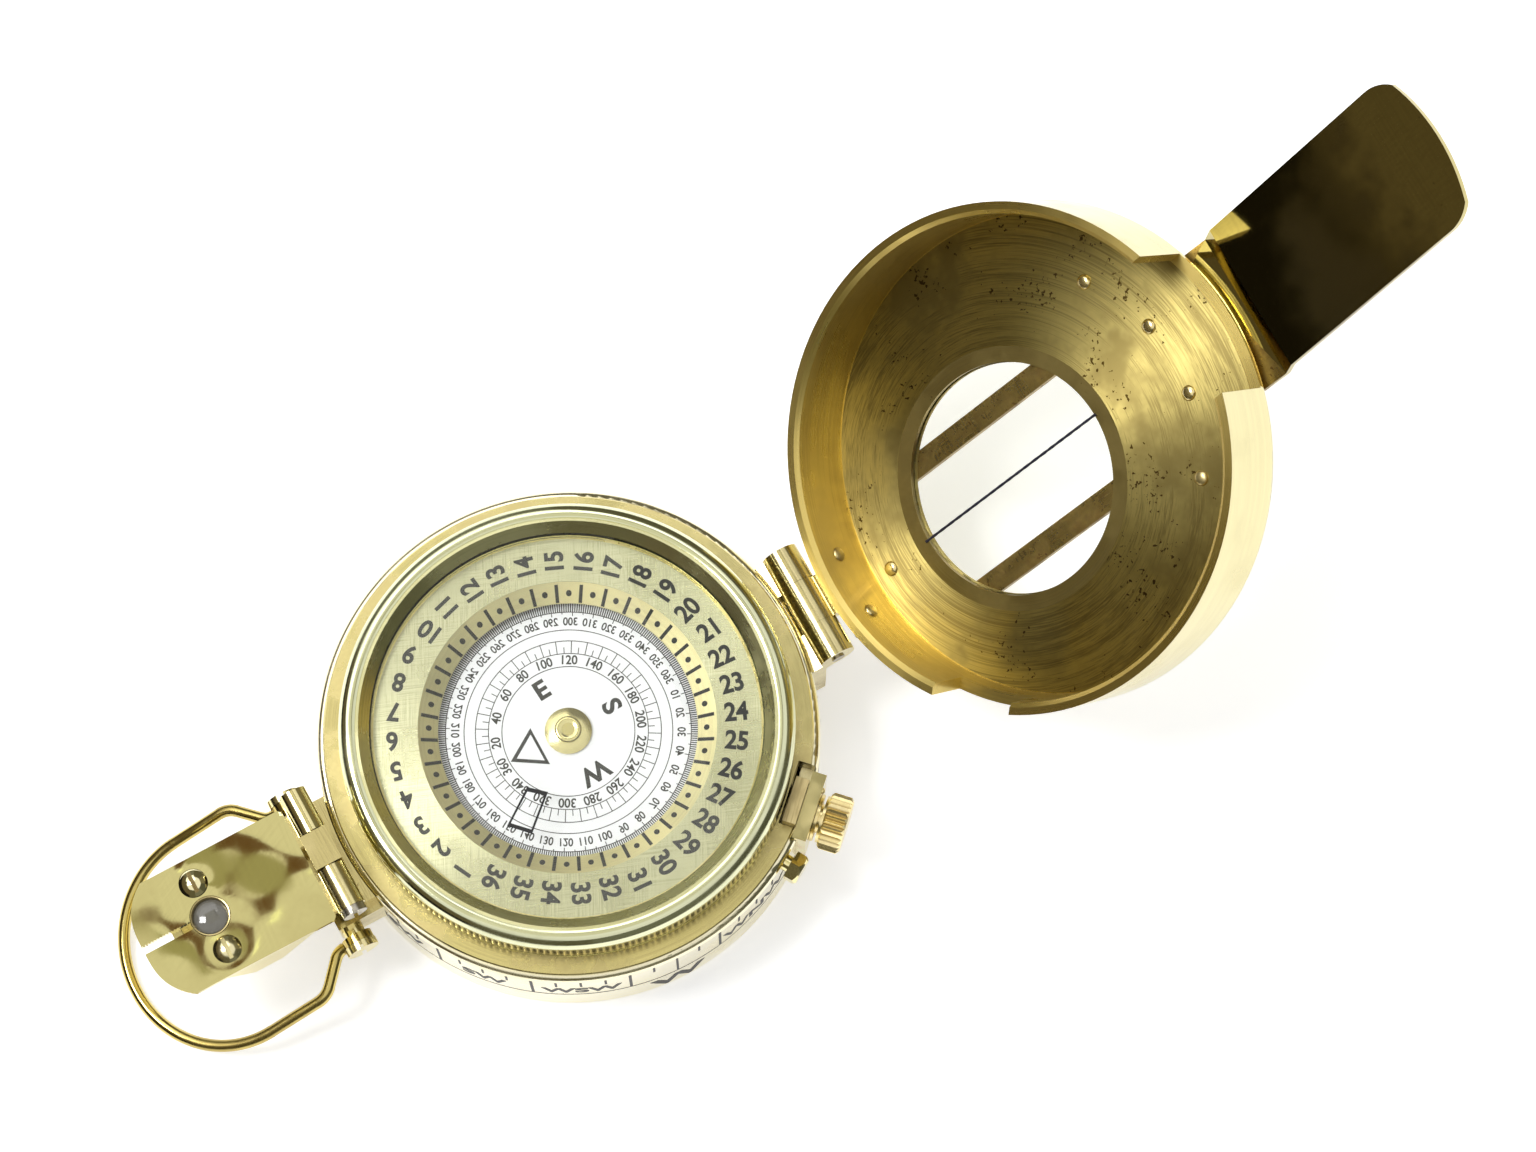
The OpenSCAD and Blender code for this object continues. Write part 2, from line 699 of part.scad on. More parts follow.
module prism_box() {
    color(brass) difference() {
        union() {
            side_plate(-box_hw, box_hw) box_outline(0);
            for (s = [0, 1]) mirror([0, s, 0]) {
                bar_y(rod_r, rod_x, rod_z, arm_in, rod_hw);
                side_plate(arm_in, box_hw) polygon([[rod_x - rod_r, rod_z], [rod_x - 0.2, rod_z],
                    [rod_x - 0.2, hood_z - 1.3], [hood_x - 1.4, hood_z - 1.3], [hood_x - 1.4, hood_z],
                    [rod_x - rod_r, hood_z]]);
            }
        }
        side_plate(box_wall - box_hw, box_hw - box_wall) box_outline(box_wall);
        bar_y(pin_r, rod_x, rod_z, -rod_hw - 1, rod_hw + 1);
        // eyepiece opening, in the slope that faces the case
        translate([hood_x - 4.6, 0, hood_z - box_d / 2 - 1]) rotate([0, -45, 0])
            block([-1.6, -2.6, -4], [1.6, 2.6, 1]);
    }
}

module prism_glass() {
    color("lightblue", 0.6) side_plate(-box_hw + box_wall + fit, box_hw - box_wall - fit)
        box_outline(box_wall + fit);
}

module hood_plate() {
    x_end = hood_x - hood_l;
    color(brass) translate([0, 0, hood_z]) linear_extrude(hood_t) difference() {
        polygon([[hood_x, -hood_hw], [hood_x, hood_hw], [x_end + 3.2, hood_hw], [x_end + 0.5, 0.6 * hood_hw],
            [x_end, 0.3 * hood_hw], [x_end, -0.3 * hood_hw], [x_end + 0.5, -0.6 * hood_hw],
            [x_end + 3.2, -hood_hw]]);
        translate([hood_x - lens_x, 0]) circle(r = lens_r);
        for (y = [-screw_y, screw_y]) translate([hood_x - lens_x, y]) circle(r = shank_r);
        translate([x_end - 1, -slot_w / 2]) square([hood_l - lens_x + 1, slot_w]);
    }
}

module hood_screws() {
    color(brass) for (s = [0, 1]) mirror([0, s, 0])
            translate([hood_x - lens_x, screw_y, hood_top]) difference() {
        union() {
            rotate_extrude() intersection() {
                square([dome_r, dome_h]);
                translate([0, dome_h - dome_ball]) circle(r = dome_ball);
            }
            translate([0, 0, -hood_t]) cylinder(r = shank_r, h = hood_t + dome_h / 2);
        }
        block([-driver_w / 2, -dome_r - 1, dome_h - driver_d], [driver_w / 2, dome_r + 1, dome_h + 1]);
    }
}

module prism_lens() {
    color("lightcyan", 0.6) translate([hood_x - lens_x, 0, hood_z]) rotate_extrude() intersection() {
        square([lens_r, hood_t - 0.1]);
        translate([0, hood_t - 0.1 - 2.6 * lens_r]) circle(r = 2.6 * lens_r);
    }
}

// ---- bail: a bow, two sides, two flared legs and their eyes; drawn level, then let down ----
module bail() {
    color(brass) translate([bail_x, 0, bail_z]) rotate([0, -bail_drop, 0]) mirror([1, 0, 0]) {
        translate([bow_x, 0, 0]) rotate([0, 0, -90]) wire_bend(bow_r, 180);
        for (s = [0, 1]) mirror([0, s, 0]) bail_leg();
    }
}

module bail_leg() {
    translate([0, bow_r, 0]) bar_x(leg_r, side_x + side_cut - lap, bow_x + lap);
    translate([side_x + side_cut, bow_r - side_bend, 0]) rotate([0, 0, 90]) wire_bend(side_bend, flare);
    translate([leg_x, eye_y, 0]) rotate([0, 0, flare])
        bar_x(leg_r, leg_cut - lap, rise / sin(flare) - side_cut + lap);
    translate([leg_x - leg_cut, eye_y + leg_bend, 0]) rotate([0, 0, -90]) wire_bend(leg_bend, flare);
    translate([0, eye_y, 0]) difference() {
        union() {
            bar_y(eye_r, 0, 0, -eye_t / 2, eye_t / 2);
            bar_x(leg_r, head_r + 0.15, leg_x - leg_cut + lap);
            // flattened beside the screw's head
            intersection() {
                bar_x(leg_r, pin_r + 0.5, head_r + 0.3);
                block([0, -eye_t / 2, -wire_r], [2 * eye_r, eye_t / 2, wire_r]);
            }
        }
        bar_y(pin_r + fit, 0, 0, -eye_t, eye_t);
    }
}

// wire bent about Z, from the +X axis on
module wire_bend(r, a) { rotate_extrude(angle = a) translate([r, 0]) circle(r = wire_r); }

module bail_screws() {
    color(brass) for (s = [0, 1]) mirror([0, s, 0]) {
        bar_y(pin_r, bail_x, bail_z, block_hw - screw_depth, eye_y + eye_t);
        bar_y(pin_r + 0.5, bail_x, bail_z, block_hw, eye_y - eye_t / 2 - fit);
        difference() {
            bar_y(head_r, bail_x, bail_z, eye_y + eye_t / 2 + fit, eye_y + eye_t / 2 + 1);
            translate([bail_x - driver_w / 2, eye_y + eye_t / 2 + 1 - driver_d, bail_z - 3])
                cube([driver_w, 1, 6]);
        }
    }
}

case_shell();
deck_ring();
base_plate();
number_ring();
scale_ring();
pivot_post();
card_disc();
card_hub();
card_magnets();
card_jewel();
bezel_ring();
bezel_glass();
bezel_retainer();
clamp_bracket();
clamp_shoe();
clamp_knob();
brake_plunger();
case_hinge();
hinge_pin();
lid_shell();
lid_plate();
lid_hinge();
lid_glass();
lid_glass_ring();
hairline();
tongue_plate();
prism_bracket();
prism_slide();
prism_pin();
prism_box();
prism_glass();
hood_plate();
hood_screws();
prism_lens();
bail();
bail_screws();
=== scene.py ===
"""Looks of a brass prismatic compass: finishes, dial work, lettering, glass, studio light and camera."""
import logging
import math
from dataclasses import dataclass, field, replace
from enum import Enum
from typing import Callable, ClassVar, Optional, Sequence, Union

import bmesh
import bpy
from mathutils import Euler, Matrix, Vector


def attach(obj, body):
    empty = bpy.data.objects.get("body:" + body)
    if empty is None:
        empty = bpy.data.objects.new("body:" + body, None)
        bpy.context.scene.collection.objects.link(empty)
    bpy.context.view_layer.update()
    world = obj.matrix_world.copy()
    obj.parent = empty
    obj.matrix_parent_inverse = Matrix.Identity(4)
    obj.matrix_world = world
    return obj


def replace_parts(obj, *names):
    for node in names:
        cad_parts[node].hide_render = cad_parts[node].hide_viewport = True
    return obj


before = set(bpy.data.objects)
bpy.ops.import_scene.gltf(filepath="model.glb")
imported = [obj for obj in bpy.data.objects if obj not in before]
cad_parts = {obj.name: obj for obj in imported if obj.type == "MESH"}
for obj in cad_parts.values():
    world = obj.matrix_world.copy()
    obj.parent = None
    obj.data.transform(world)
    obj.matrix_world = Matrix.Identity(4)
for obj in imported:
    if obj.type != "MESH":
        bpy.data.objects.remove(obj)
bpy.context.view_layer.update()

LOG = logging.getLogger("compass")
MM = 0.001
PLY = 0.02 * MM  # how far printed and painted marks stand off their surface
FACING = 0.5  # cosine from which a face counts as facing a direction
Socket = bpy.types.NodeSocket
Sockets = bpy.types.bpy_prop_collection
Value = Union[float, Sequence[float], Socket]
Pair = tuple[float, float]
Triple = tuple[float, float, float]
Face = tuple[int, ...]
Place = Callable[[float, float], Vector]


class Body(str, Enum):
    """The moving bodies that pieces ride on."""

    CASE = "case"
    CARD = "card"
    BEZEL = "bezel"
    LID = "lid"
    PRISM = "prism"


class Slot(str, Enum):
    """Names of material slots."""

    POLISHED = "polished_brass"
    INK = "hair"
    STEEL = "steel"


class Grain(Enum):
    """How the marks of the tool run over a metal face."""

    NONE = 0
    TURNED = 1
    STRAIGHT = 2
    CROSSED = 3


# ---------------------------------------------------------------- places

HINGE = Vector((32.6, 0.0, 15.3)) * MM
LID_OPEN = math.radians(140.5)
LID_TURN = Matrix.Translation(HINGE) @ Matrix.Rotation(LID_OPEN, 4, "Y") @ Matrix.Translation(-HINGE)
LID_SWING = LID_TURN.to_3x3()
CLAMP_AT = -46.5
UP = Vector((0.0, 0.0, 1.0))


def polar(radius: float, degrees: float, height: float) -> Vector:
    """A point from a radius and a height in mm and a direction in degrees, in metres."""
    a = math.radians(degrees)
    return Vector((radius * math.cos(a), radius * math.sin(a), height)) * MM


def from_closed(point: Vector) -> Vector:
    """Carries a point of the closed lid to where the lid stands open."""
    return LID_TURN @ point


def to_closed(point: Vector) -> Vector:
    """Carries a point of the open lid back to where it is with the lid closed."""
    return LID_TURN.inverted() @ point


def enter(name: str, data: bpy.types.ID) -> bpy.types.Object:
    """Puts an object with its data into the scene.

    Args:
        name: the object's name.
        data: its mesh, curve, lamp or camera.

    Returns:
        The object.
    """
    made = bpy.data.objects.new(name, data)
    bpy.context.scene.collection.objects.link(made)
    return made


# ---------------------------------------------------------------- node wiring

def spaced(values: dict[str, Value]) -> dict[str, Value]:
    """The same values under names that have spaces for underscores."""
    return {name.replace("_", " "): value for name, value in values.items()}


class Wiring:
    """Adds nodes to one node tree and links them."""

    def __init__(self, tree: bpy.types.NodeTree) -> None:
        """Keeps the tree that the nodes go into."""
        self.tree = tree

    def feed(self, sockets: Sockets, values: dict) -> None:
        """Links or sets inputs of a node.

        Args:
            sockets: the inputs.
            values: what each gets, by name or number: a socket, or plain numbers, three for a colour.
        """
        for name, value in values.items():
            socket = sockets[name]
            if isinstance(value, Socket):
                self.tree.links.new(value, socket)
            else:
                socket.default_value = (*value, 1.0) if socket.type == "RGBA" else value

    def add(self, kind: str, inputs: Optional[dict] = None, **settings: object) -> Sockets:
        """Makes a node.

        Args:
            kind: the node's type, without Blender's prefix.
            inputs: what its inputs get, by name or number.
            settings: properties of the node.

        Returns:
            Its outputs.
        """
        node = self.tree.nodes.new("ShaderNode" + kind)
        for name, value in settings.items():
            setattr(node, name, value)
        self.feed(node.inputs, inputs or {})
        return node.outputs

    def math(self, operation: str, a: Value, b: Value = 0.0, clamp: bool = False) -> Socket:
        """The result of a Math node."""
        return self.add("Math", {0: a, 1: b}, operation=operation, use_clamp=clamp)[0]

    def vector(self, operation: str, a: Value, b: Value = (0.0, 0.0, 0.0)) -> Socket:
        """The result of a Vector Math node: a number for a dot product or a length, and else a vector."""
        second = "Scale" if operation == "SCALE" else 1
        outputs = self.add("VectorMath", {0: a, second: b}, operation=operation)
        return outputs["Value" if operation in ("DOT_PRODUCT", "LENGTH") else "Vector"]

    def range(self, value: Value, low: Value, high: Value,
              to_low: float = 0.0, to_high: float = 1.0) -> Socket:
        """A value carried smoothly from one range to another, and held at its ends."""
        inputs = {"Value": value, "From Min": low, "From Max": high, "To Min": to_low, "To Max": to_high}
        return self.add("MapRange", inputs, interpolation_type="SMOOTHSTEP")["Result"]

    def mixed(self, share: Value, a: Value, b: Value) -> Socket:
        """A mix of two colours."""
        return self.add("Mix", {0: share, 6: a, 7: b}, data_type="RGBA")[2]

    def noise(self, at: Value, scale: Value, detail: float = 2.0, rough: float = 0.5) -> Socket:
        """The value of a Noise texture."""
        inputs = {"Vector": at, "Scale": scale, "Detail": detail, "Roughness": rough}
        return self.add("TexNoise", inputs)["Fac"]


class GroupDraft(Wiring):
    """A shader node group being written, with named inputs, one of them Position."""

    def __init__(self, name: str, outputs: Sequence[str], **inputs: Value) -> None:
        """Makes the group.

        Args:
            name: the group's name.
            outputs: the names of the outputs, all plain values.
            inputs: the value that each further input has until it is fed.
        """
        super().__init__(bpy.data.node_groups.new(name, "ShaderNodeTree"))
        add_socket = self.tree.interface.new_socket
        for key, value in {"Position": (0.0, 0.0, 0.0), **spaced(inputs)}.items():
            kind = "NodeSocketFloat" if isinstance(value, float) else "NodeSocketVector"
            add_socket(key, in_out="INPUT", socket_type=kind).default_value = value
        for key in outputs:
            add_socket(key, in_out="OUTPUT", socket_type="NodeSocketFloat")
        self.source = self.tree.nodes.new("NodeGroupInput").outputs
        self.sink = self.tree.nodes.new("NodeGroupOutput").inputs

    def drawn(self, direction: str, detail: float) -> Socket:
        """Noise that is drawn out along a direction.

        Args:
            direction: the input that gives the direction.
            detail: detail of the noise.

        Returns:
            Its value.
        """
        at, along = self.source["Position"], self.source[direction]
        kept = self.math("SUBTRACT", 1.0, self.math("DIVIDE", 1.0, self.source["Stretch"]))
        shift = self.math("MULTIPLY", self.vector("DOT_PRODUCT", at, along), kept)
        place = self.vector("SUBTRACT", at, self.vector("SCALE", along, shift))
        return self.noise(place, self.source["Lines per metre"], detail, 0.6)

    def close(self, **outputs: Socket) -> bpy.types.NodeTree:
        """Feeds the outputs by name, and gives the finished group."""
        self.feed(self.sink, outputs)
        return self.tree


class MaterialDraft(Wiring):
    """A material being written round its Principled node."""

    def __init__(self, name: str) -> None:
        """Makes the material, with a node that gives each point's place at rest.

        Args:
            name: the material's name.
        """
        self.made = bpy.data.materials.new(name)
        self.made.use_nodes = True
        super().__init__(self.made.node_tree)
        self.skin = self.tree.nodes["Principled BSDF"].inputs
        self.at = self.add("TexCoord")["Object"]
        self.normal: Optional[Socket] = None

    def set(self, **inputs: Value) -> None:
        """Links or sets inputs of the Principled node."""
        self.feed(self.skin, spaced(inputs))

    def effect(self, group: bpy.types.NodeTree, **inputs: Value) -> Sockets:
        """Places a shared effect and gives its outputs."""
        return self.add("Group", {"Position": self.at, **spaced(inputs)}, node_tree=group)

    def relief(self, height: Socket, depth: float) -> None:
        """Lays a relief over what has shaped the normal before.

        Args:
            height: height of the relief.
            depth: what a height of one means, in metres.
        """
        inputs = {"Height": height, "Strength": 1.0, "Distance": depth}
        if self.normal is not None:
            inputs["Normal"] = self.normal
        self.normal = self.add("Bump", inputs)[0]
        self.set(Normal=self.normal)


class Effects:
    """The surface effects that several materials share, each a node group built once."""

    def __init__(self) -> None:
        """Builds every group."""
        self.turned = self.make_turned()
        self.straight = self.make_straight()
        self.crossed = self.make_crossed()
        self.tarnish = self.make_tarnish()
        self.wear = self.make_wear()
        self.waves = self.make_waves()

    def make_turned(self) -> bpy.types.NodeTree:
        """Rings that a lathe leaves round an axis, with some broken arcs among them.

        Returns:
            A group with the outputs Grain, from 0 to 1, and Radius, in metres.
        """
        g = GroupDraft("turned_grain", ("Grain", "Radius"), Centre=(0.0, 0.0, 0.0), Axis=tuple(UP),
                       Rings_per_metre=5000.0, Break=60.0)
        s = g.source
        place = g.vector("SUBTRACT", s["Position"], s["Centre"])
        along = g.vector("DOT_PRODUCT", place, s["Axis"])
        radius = g.vector("LENGTH", g.vector("SUBTRACT", place, g.vector("SCALE", s["Axis"], along)))
        lines = g.add("CombineXYZ", {
            "X": g.math("MULTIPLY", radius, s["Rings per metre"]),
            "Y": g.math("MULTIPLY", along, s["Rings per metre"]),
            "Z": g.math("MULTIPLY", g.vector("DOT_PRODUCT", place, (0.7, 0.6, 0.4)), s["Break"]),
        })[0]
        fine = g.math("MULTIPLY", g.noise(lines, 1.0, 3.0, 0.65), 0.6)
        broad = g.math("MULTIPLY", g.noise(lines, 0.13), 0.4)
        return g.close(Grain=g.math("ADD", fine, broad), Radius=radius)

    def make_straight(self) -> bpy.types.NodeTree:
        """Lines that a belt or a brush leaves along one direction, with the output Grain, from 0 to 1."""
        g = GroupDraft("straight_grain", ("Grain",), Along=(1.0, 0.0, 0.0), Lines_per_metre=6000.0,
                       Stretch=25.0)
        return g.close(Grain=g.drawn("Along", 3.0))

    def make_crossed(self) -> bpy.types.NodeTree:
        """Scratches that cross each other in patches, as wiping cloths and abrasive paper leave them.

        Returns:
            A group with the output Grain, from 0 to 1.
        """
        g = GroupDraft("crossed_scratches", ("Grain",), First=(0.8, 0.6, 0.0), Second=(-0.5, 0.87, 0.0),
                       Lines_per_metre=11000.0, Stretch=60.0)
        share = g.range(g.noise(g.source["Position"], 420.0, 3.0), 0.15, 0.85)
        first = g.math("MULTIPLY", g.drawn("First", 2.5), g.math("SUBTRACT", 1.0, share))
        return g.close(Grain=g.math("ADD", g.math("MULTIPLY", g.drawn("Second", 2.5), share), first))

    def make_tarnish(self) -> bpy.types.NodeTree:
        """Soft clouds and small dark specks that age leaves on brass.

        Returns:
            A group with the outputs Cloud and Specks, from 0 to 1.
        """
        g = GroupDraft("tarnish", ("Cloud", "Specks"), Clouds_per_metre=90.0, Specks_per_metre=1400.0,
                       Share=0.3)
        at, clouds = g.source["Position"], g.source["Clouds per metre"]
        cloud = g.range(g.noise(at, clouds, 4.0, 0.6), 0.42, 0.68)
        patch = g.range(g.noise(at, g.math("MULTIPLY", clouds, 1.7)), 0.35, 0.7)
        speck = g.noise(at, g.source["Specks per metre"], 2.0, 0.6)
        reach = g.math("MULTIPLY", g.source["Share"], g.math("MULTIPLY", patch, 0.22))
        line = g.math("SUBTRACT", 0.78, reach)
        return g.close(Cloud=cloud, Specks=g.range(speck, line, g.math("ADD", line, 0.06)))

    def make_wear(self) -> bpy.types.NodeTree:
        """Where an edge is worn bright, from how far a softened normal leans from the true one.

        Returns:
            A group with the output Edge, from 0 to 1.
        """
        g = GroupDraft("edge_wear", ("Edge",), Width=0.2 * MM)
        soft = g.add("Bevel", {"Radius": g.source["Width"]}, samples=4)[0]
        lean = g.math("SUBTRACT", 1.0, g.vector("DOT_PRODUCT", soft, g.add("NewGeometry")["Normal"]))
        uneven = g.range(g.noise(g.source["Position"], 900.0), 0.3, 0.6, 0.45, 1.0)
        return g.close(Edge=g.math("MULTIPLY", g.range(lean, 0.02, 0.25), uneven, clamp=True))

    def make_waves(self) -> bpy.types.NodeTree:
        """The slow unevenness of hand-polished sheet.

        Returns:
            A group with the output Height, in metres.
        """
        g = GroupDraft("polish_waves", ("Height",), Waves_per_metre=160.0, Depth=0.02 * MM)
        wave = g.noise(g.source["Position"], g.source["Waves per metre"], 1.5, 0.45)
        return g.close(Height=g.math("MULTIPLY", wave, g.source["Depth"]))


# ---------------------------------------------------------------- finishes

@dataclass(frozen=True)
class Finish:
    """What a surface is finished with."""

    name: str

    def material(self, effects: Effects) -> bpy.types.Material:
        """Gives the finish's material, written when it is first asked for.

        Args:
            effects: the shared node groups.

        Returns:
            The material.
        """
        if self.name not in bpy.data.materials:
            self.write(MaterialDraft(self.name), effects)
        return bpy.data.materials[self.name]

    def write(self, w: MaterialDraft, effects: Effects) -> None:
        """Writes the material's nodes. Each kind of finish has its own way."""
        raise NotImplementedError


@dataclass(frozen=True)
class Brass(Finish):
    """A brass finish: its colour, how it was worked, what age did to it, and painted shade at the bottom of
    its teeth and flutes.

    Colours are linear. Lengths are in metres. The grain runs round centre and axis when turned, along axis
    when straight, and along axis and cross when crossed. Film is what finger marks and dull patches add to
    roughness. A flat finish shades each face by its own normal.
    """

    colour: Triple
    # old is the stain colour: tarnish, and on milled teeth and flutes also their painted shade
    old: Triple
    rough: float
    grain: Grain = Grain.TURNED
    centre: Triple = (0.0, 0.0, 0.0)
    axis: Triple = (0.0, 0.0, 1.0)
    cross: Triple = (-0.5, 0.87, 0.0)
    lines: float = 5000.0
    breaks: float = 60.0
    grain_depth: float = 0.000002
    grain_tone: float = 0.25
    sheen_turn: float = 0.0
    cloud: float = 0.25
    clouds_per_metre: float = 90.0
    specks: float = 0.3
    specks_per_metre: float = 1400.0
    film: float = 0.12
    wave: float = 0.0
    waves_per_metre: float = 160.0
    # inner and outer radius of the painted shade at the bottom of teeth and flutes
    shade_radius: Pair = (0.0, 0.0)
    flat: bool = False
    speck_gain: ClassVar[float] = 1.4  # darkness of the specks against their share
    groove: ClassVar[Pair] = (0.62, 0.36)  # where a groove's dark begins, and where it is full
    bottom_shade: ClassVar[float] = 0.92  # painted shade: darkness at the bottom of teeth and flutes
    edge_wear: ClassVar[float] = 0.6  # how much of the stain and painted shade a worn edge has lost
    stain_rough: ClassVar[float] = 0.18  # roughness that full stain, and the painted shade with it, adds

    def write(self, w: MaterialDraft, effects: Effects) -> None:
        """Writes the metal.

        Args:
            w: the material being written.
            effects: the shared node groups.
        """
        age = w.effect(effects.tarnish, Share=self.specks, Clouds_per_metre=self.clouds_per_metre,
                       Specks_per_metre=self.specks_per_metre)
        specks = w.math("MULTIPLY", age["Specks"], min(1.0, self.specks * self.speck_gain))
        stain_and_shade = w.math("MAXIMUM", w.math("MULTIPLY", age["Cloud"], self.cloud), specks)
        if self.flat:
            w.normal = w.add("NewGeometry")["True Normal"]
        if self.wave > 0.0:
            swell = w.effect(effects.waves, Waves_per_metre=self.waves_per_metre, Depth=self.wave)
            w.relief(swell["Height"], 1.0)
        if self.grain is not Grain.NONE:
            marks = self.mark(w, effects)
            w.relief(marks["Grain"], self.grain_depth)
            stain_and_shade = w.math("MAXIMUM", stain_and_shade,
                           w.math("MULTIPLY", w.range(marks["Grain"], *self.groove), self.grain_tone))
            # painted shade at the bottom of teeth and flutes, darkest at the inner radius
            if self.shade_radius[1] > 0.0:
                inner, outer = self.shade_radius
                dark = w.range(marks["Radius"], outer, inner, 0.0, self.bottom_shade)
                stain_and_shade = w.math("MAXIMUM", stain_and_shade, dark)
        worn = w.math("MULTIPLY", w.effect(effects.wear)["Edge"], self.edge_wear)
        stain_and_shade = w.math("MULTIPLY", stain_and_shade, w.math("SUBTRACT", 1.0, worn))
        film = w.math("MULTIPLY", age["Cloud"], self.film)
        dull = w.math("ADD", w.math("MULTIPLY", stain_and_shade, self.stain_rough), film)
        w.set(Base_Color=w.mixed(stain_and_shade, self.colour, self.old), Metallic=1.0,
              Roughness=w.math("ADD", self.rough, dull, clamp=True))
        if self.sheen_turn > 0.0:
            self.draw_sheen(w)

    def mark(self, w: MaterialDraft, effects: Effects) -> Sockets:
        """Places the group of the marks that the tool left.

        Args:
            w: the material being written.
            effects: the shared node groups.

        Returns:
            The group's outputs.
        """
        if self.grain is Grain.TURNED:
            return w.effect(effects.turned, Centre=self.centre, Axis=self.axis, Rings_per_metre=self.lines,
                            Break=self.breaks)
        if self.grain is Grain.STRAIGHT:
            return w.effect(effects.straight, Along=self.axis, Lines_per_metre=self.lines)
        return w.effect(effects.crossed, First=self.axis, Second=self.cross, Lines_per_metre=self.lines)

    def draw_sheen(self, w: MaterialDraft) -> None:
        """Draws the highlight out across rings round the Z axis or round a turned finish's own axis.

        Args:
            w: the material being written.
        """
        spindle = self.axis if self.grain is Grain.TURNED else tuple(UP)
        round_it = w.vector("CROSS_PRODUCT", spindle, w.vector("SUBTRACT", w.at, self.centre))
        world = w.add("VectorTransform", {"Vector": w.vector("NORMALIZE", round_it)}, vector_type="VECTOR",
                      convert_from="OBJECT", convert_to="WORLD")[0]
        across = w.vector("CROSS_PRODUCT", w.add("NewGeometry")["Normal"], world)
        w.set(Anisotropic=self.sheen_turn, Tangent=w.vector("NORMALIZE", across))


@dataclass(frozen=True)
class Glass(Finish):
    """Clear glass that lets the light of the lamps through to what is behind it."""

    colour: Triple = (0.97, 0.99, 0.98)
    bend: float = 1.5
    mirror: float = 0.22
    clear: float = 1.0
    shade: float = 0.06
    smears_per_metre: float = 70.0
    smear: float = 0.015

    def write(self, w: MaterialDraft, effects: Effects) -> None:
        """Writes the glass.

        Args:
            w: the material being written.
            effects: the shared node groups.
        """
        smear = w.effect(effects.tarnish, Clouds_per_metre=self.smears_per_metre)["Cloud"]
        path = w.add("LightPath")
        passed = w.math("MAXIMUM", path["Is Shadow Ray"], path["Is Diffuse Ray"])
        w.set(Base_Color=self.colour, Transmission_Weight=self.clear, Specular_IOR_Level=self.mirror,
              IOR=self.bend, Roughness=w.math("MULTIPLY", smear, self.smear),
              Alpha=w.math("SUBTRACT", 1.0, w.math("MULTIPLY", passed, 1.0 - self.shade)))


@dataclass(frozen=True)
class Coat(Finish):
    """Paint, print or plated metal: one colour, clouded a little, with a fine tooth."""

    colour: Triple
    other: Triple
    rough: float
    metallic: float = 0.0
    clouds: float = 300.0
    cloud_rough: float = 0.06
    tooth: float = 0.000002
    teeth_per_metre: float = 9000.0

    def write(self, w: MaterialDraft, effects: Effects) -> None:
        """Writes the coat.

        Args:
            w: the material being written.
            effects: the shared node groups.
        """
        cloud = w.effect(effects.tarnish, Clouds_per_metre=self.clouds)["Cloud"]
        w.set(Base_Color=w.mixed(cloud, self.colour, self.other), Metallic=self.metallic,
              Roughness=w.math("ADD", self.rough, w.math("MULTIPLY", cloud, self.cloud_rough)))
        w.relief(w.noise(w.at, self.teeth_per_metre), self.tooth)


LID_AXIS = tuple(LID_SWING @ UP)
LID_CENTRE = tuple(from_closed(Vector((0.0, 0.0, 20.0)) * MM))
LID_ALONG = tuple(LID_SWING @ Vector((1.0, 0.0, 0.0)))
WINDOW_X = 5.6
WINDOW_CENTRE = tuple(from_closed(Vector((WINDOW_X, 0.0, 20.0)) * MM))
CLAMP_AXIS = tuple(polar(1.0 / MM, CLAMP_AT, 0.0))
ACROSS = (0.0, 1.0, 0.0)

WALL_BRASS = Brass("wall_brass", (0.88, 0.82, 0.58), (0.45, 0.33, 0.14), 0.16, lines=7000.0,
                   grain_tone=0.12, sheen_turn=0.35, cloud=0.10, specks=0.12)
RIM_BRASS = Brass("rim_brass", (0.74, 0.75, 0.50), (0.24, 0.23, 0.10), 0.10, lines=4200.0, grain_tone=0.16,
                  sheen_turn=0.25, cloud=0.22, specks=0.2, film=0.1)
BEVEL_BRASS = Brass("bevel_brass", (0.78, 0.76, 0.45), (0.30, 0.26, 0.09), 0.2, lines=5200.0, grain_tone=0.3,
                    sheen_turn=0.4, specks=0.2)
# the milled band: its near-black old colour is mostly the painted shade at the bottom of the teeth
MILLED_BRASS = Brass("milled_brass", (0.74, 0.66, 0.36), (0.055, 0.045, 0.018), 0.22, lines=9000.0,
                     grain_tone=0.1, cloud=0.3, specks=0.4, shade_radius=(26.76 * MM, 27.0 * MM))
DECK_BRASS = Brass("deck_brass", (0.80, 0.70, 0.33), (0.22, 0.14, 0.045), 0.17, lines=6000.0, grain_tone=0.22,
                   sheen_turn=0.3, cloud=0.4, specks=0.45, clouds_per_metre=160.0)
DIAL_BRASS = Brass("dial_brass", (0.64, 0.62, 0.41), (0.27, 0.26, 0.14), 0.25, Grain.CROSSED,
                   axis=(0.93, -0.37, 0.0), cross=(0.45, 0.89, 0.0), lines=8000.0, grain_depth=0.000006,
                   grain_tone=0.6, sheen_turn=0.6, cloud=0.4, clouds_per_metre=70.0, specks=0.12)
SLOPE_BRASS = Brass("slope_brass", (0.90, 0.82, 0.46), (0.46, 0.35, 0.13), 0.34, lines=6000.0, grain_tone=0.2,
                    cloud=0.2, specks=0.15)
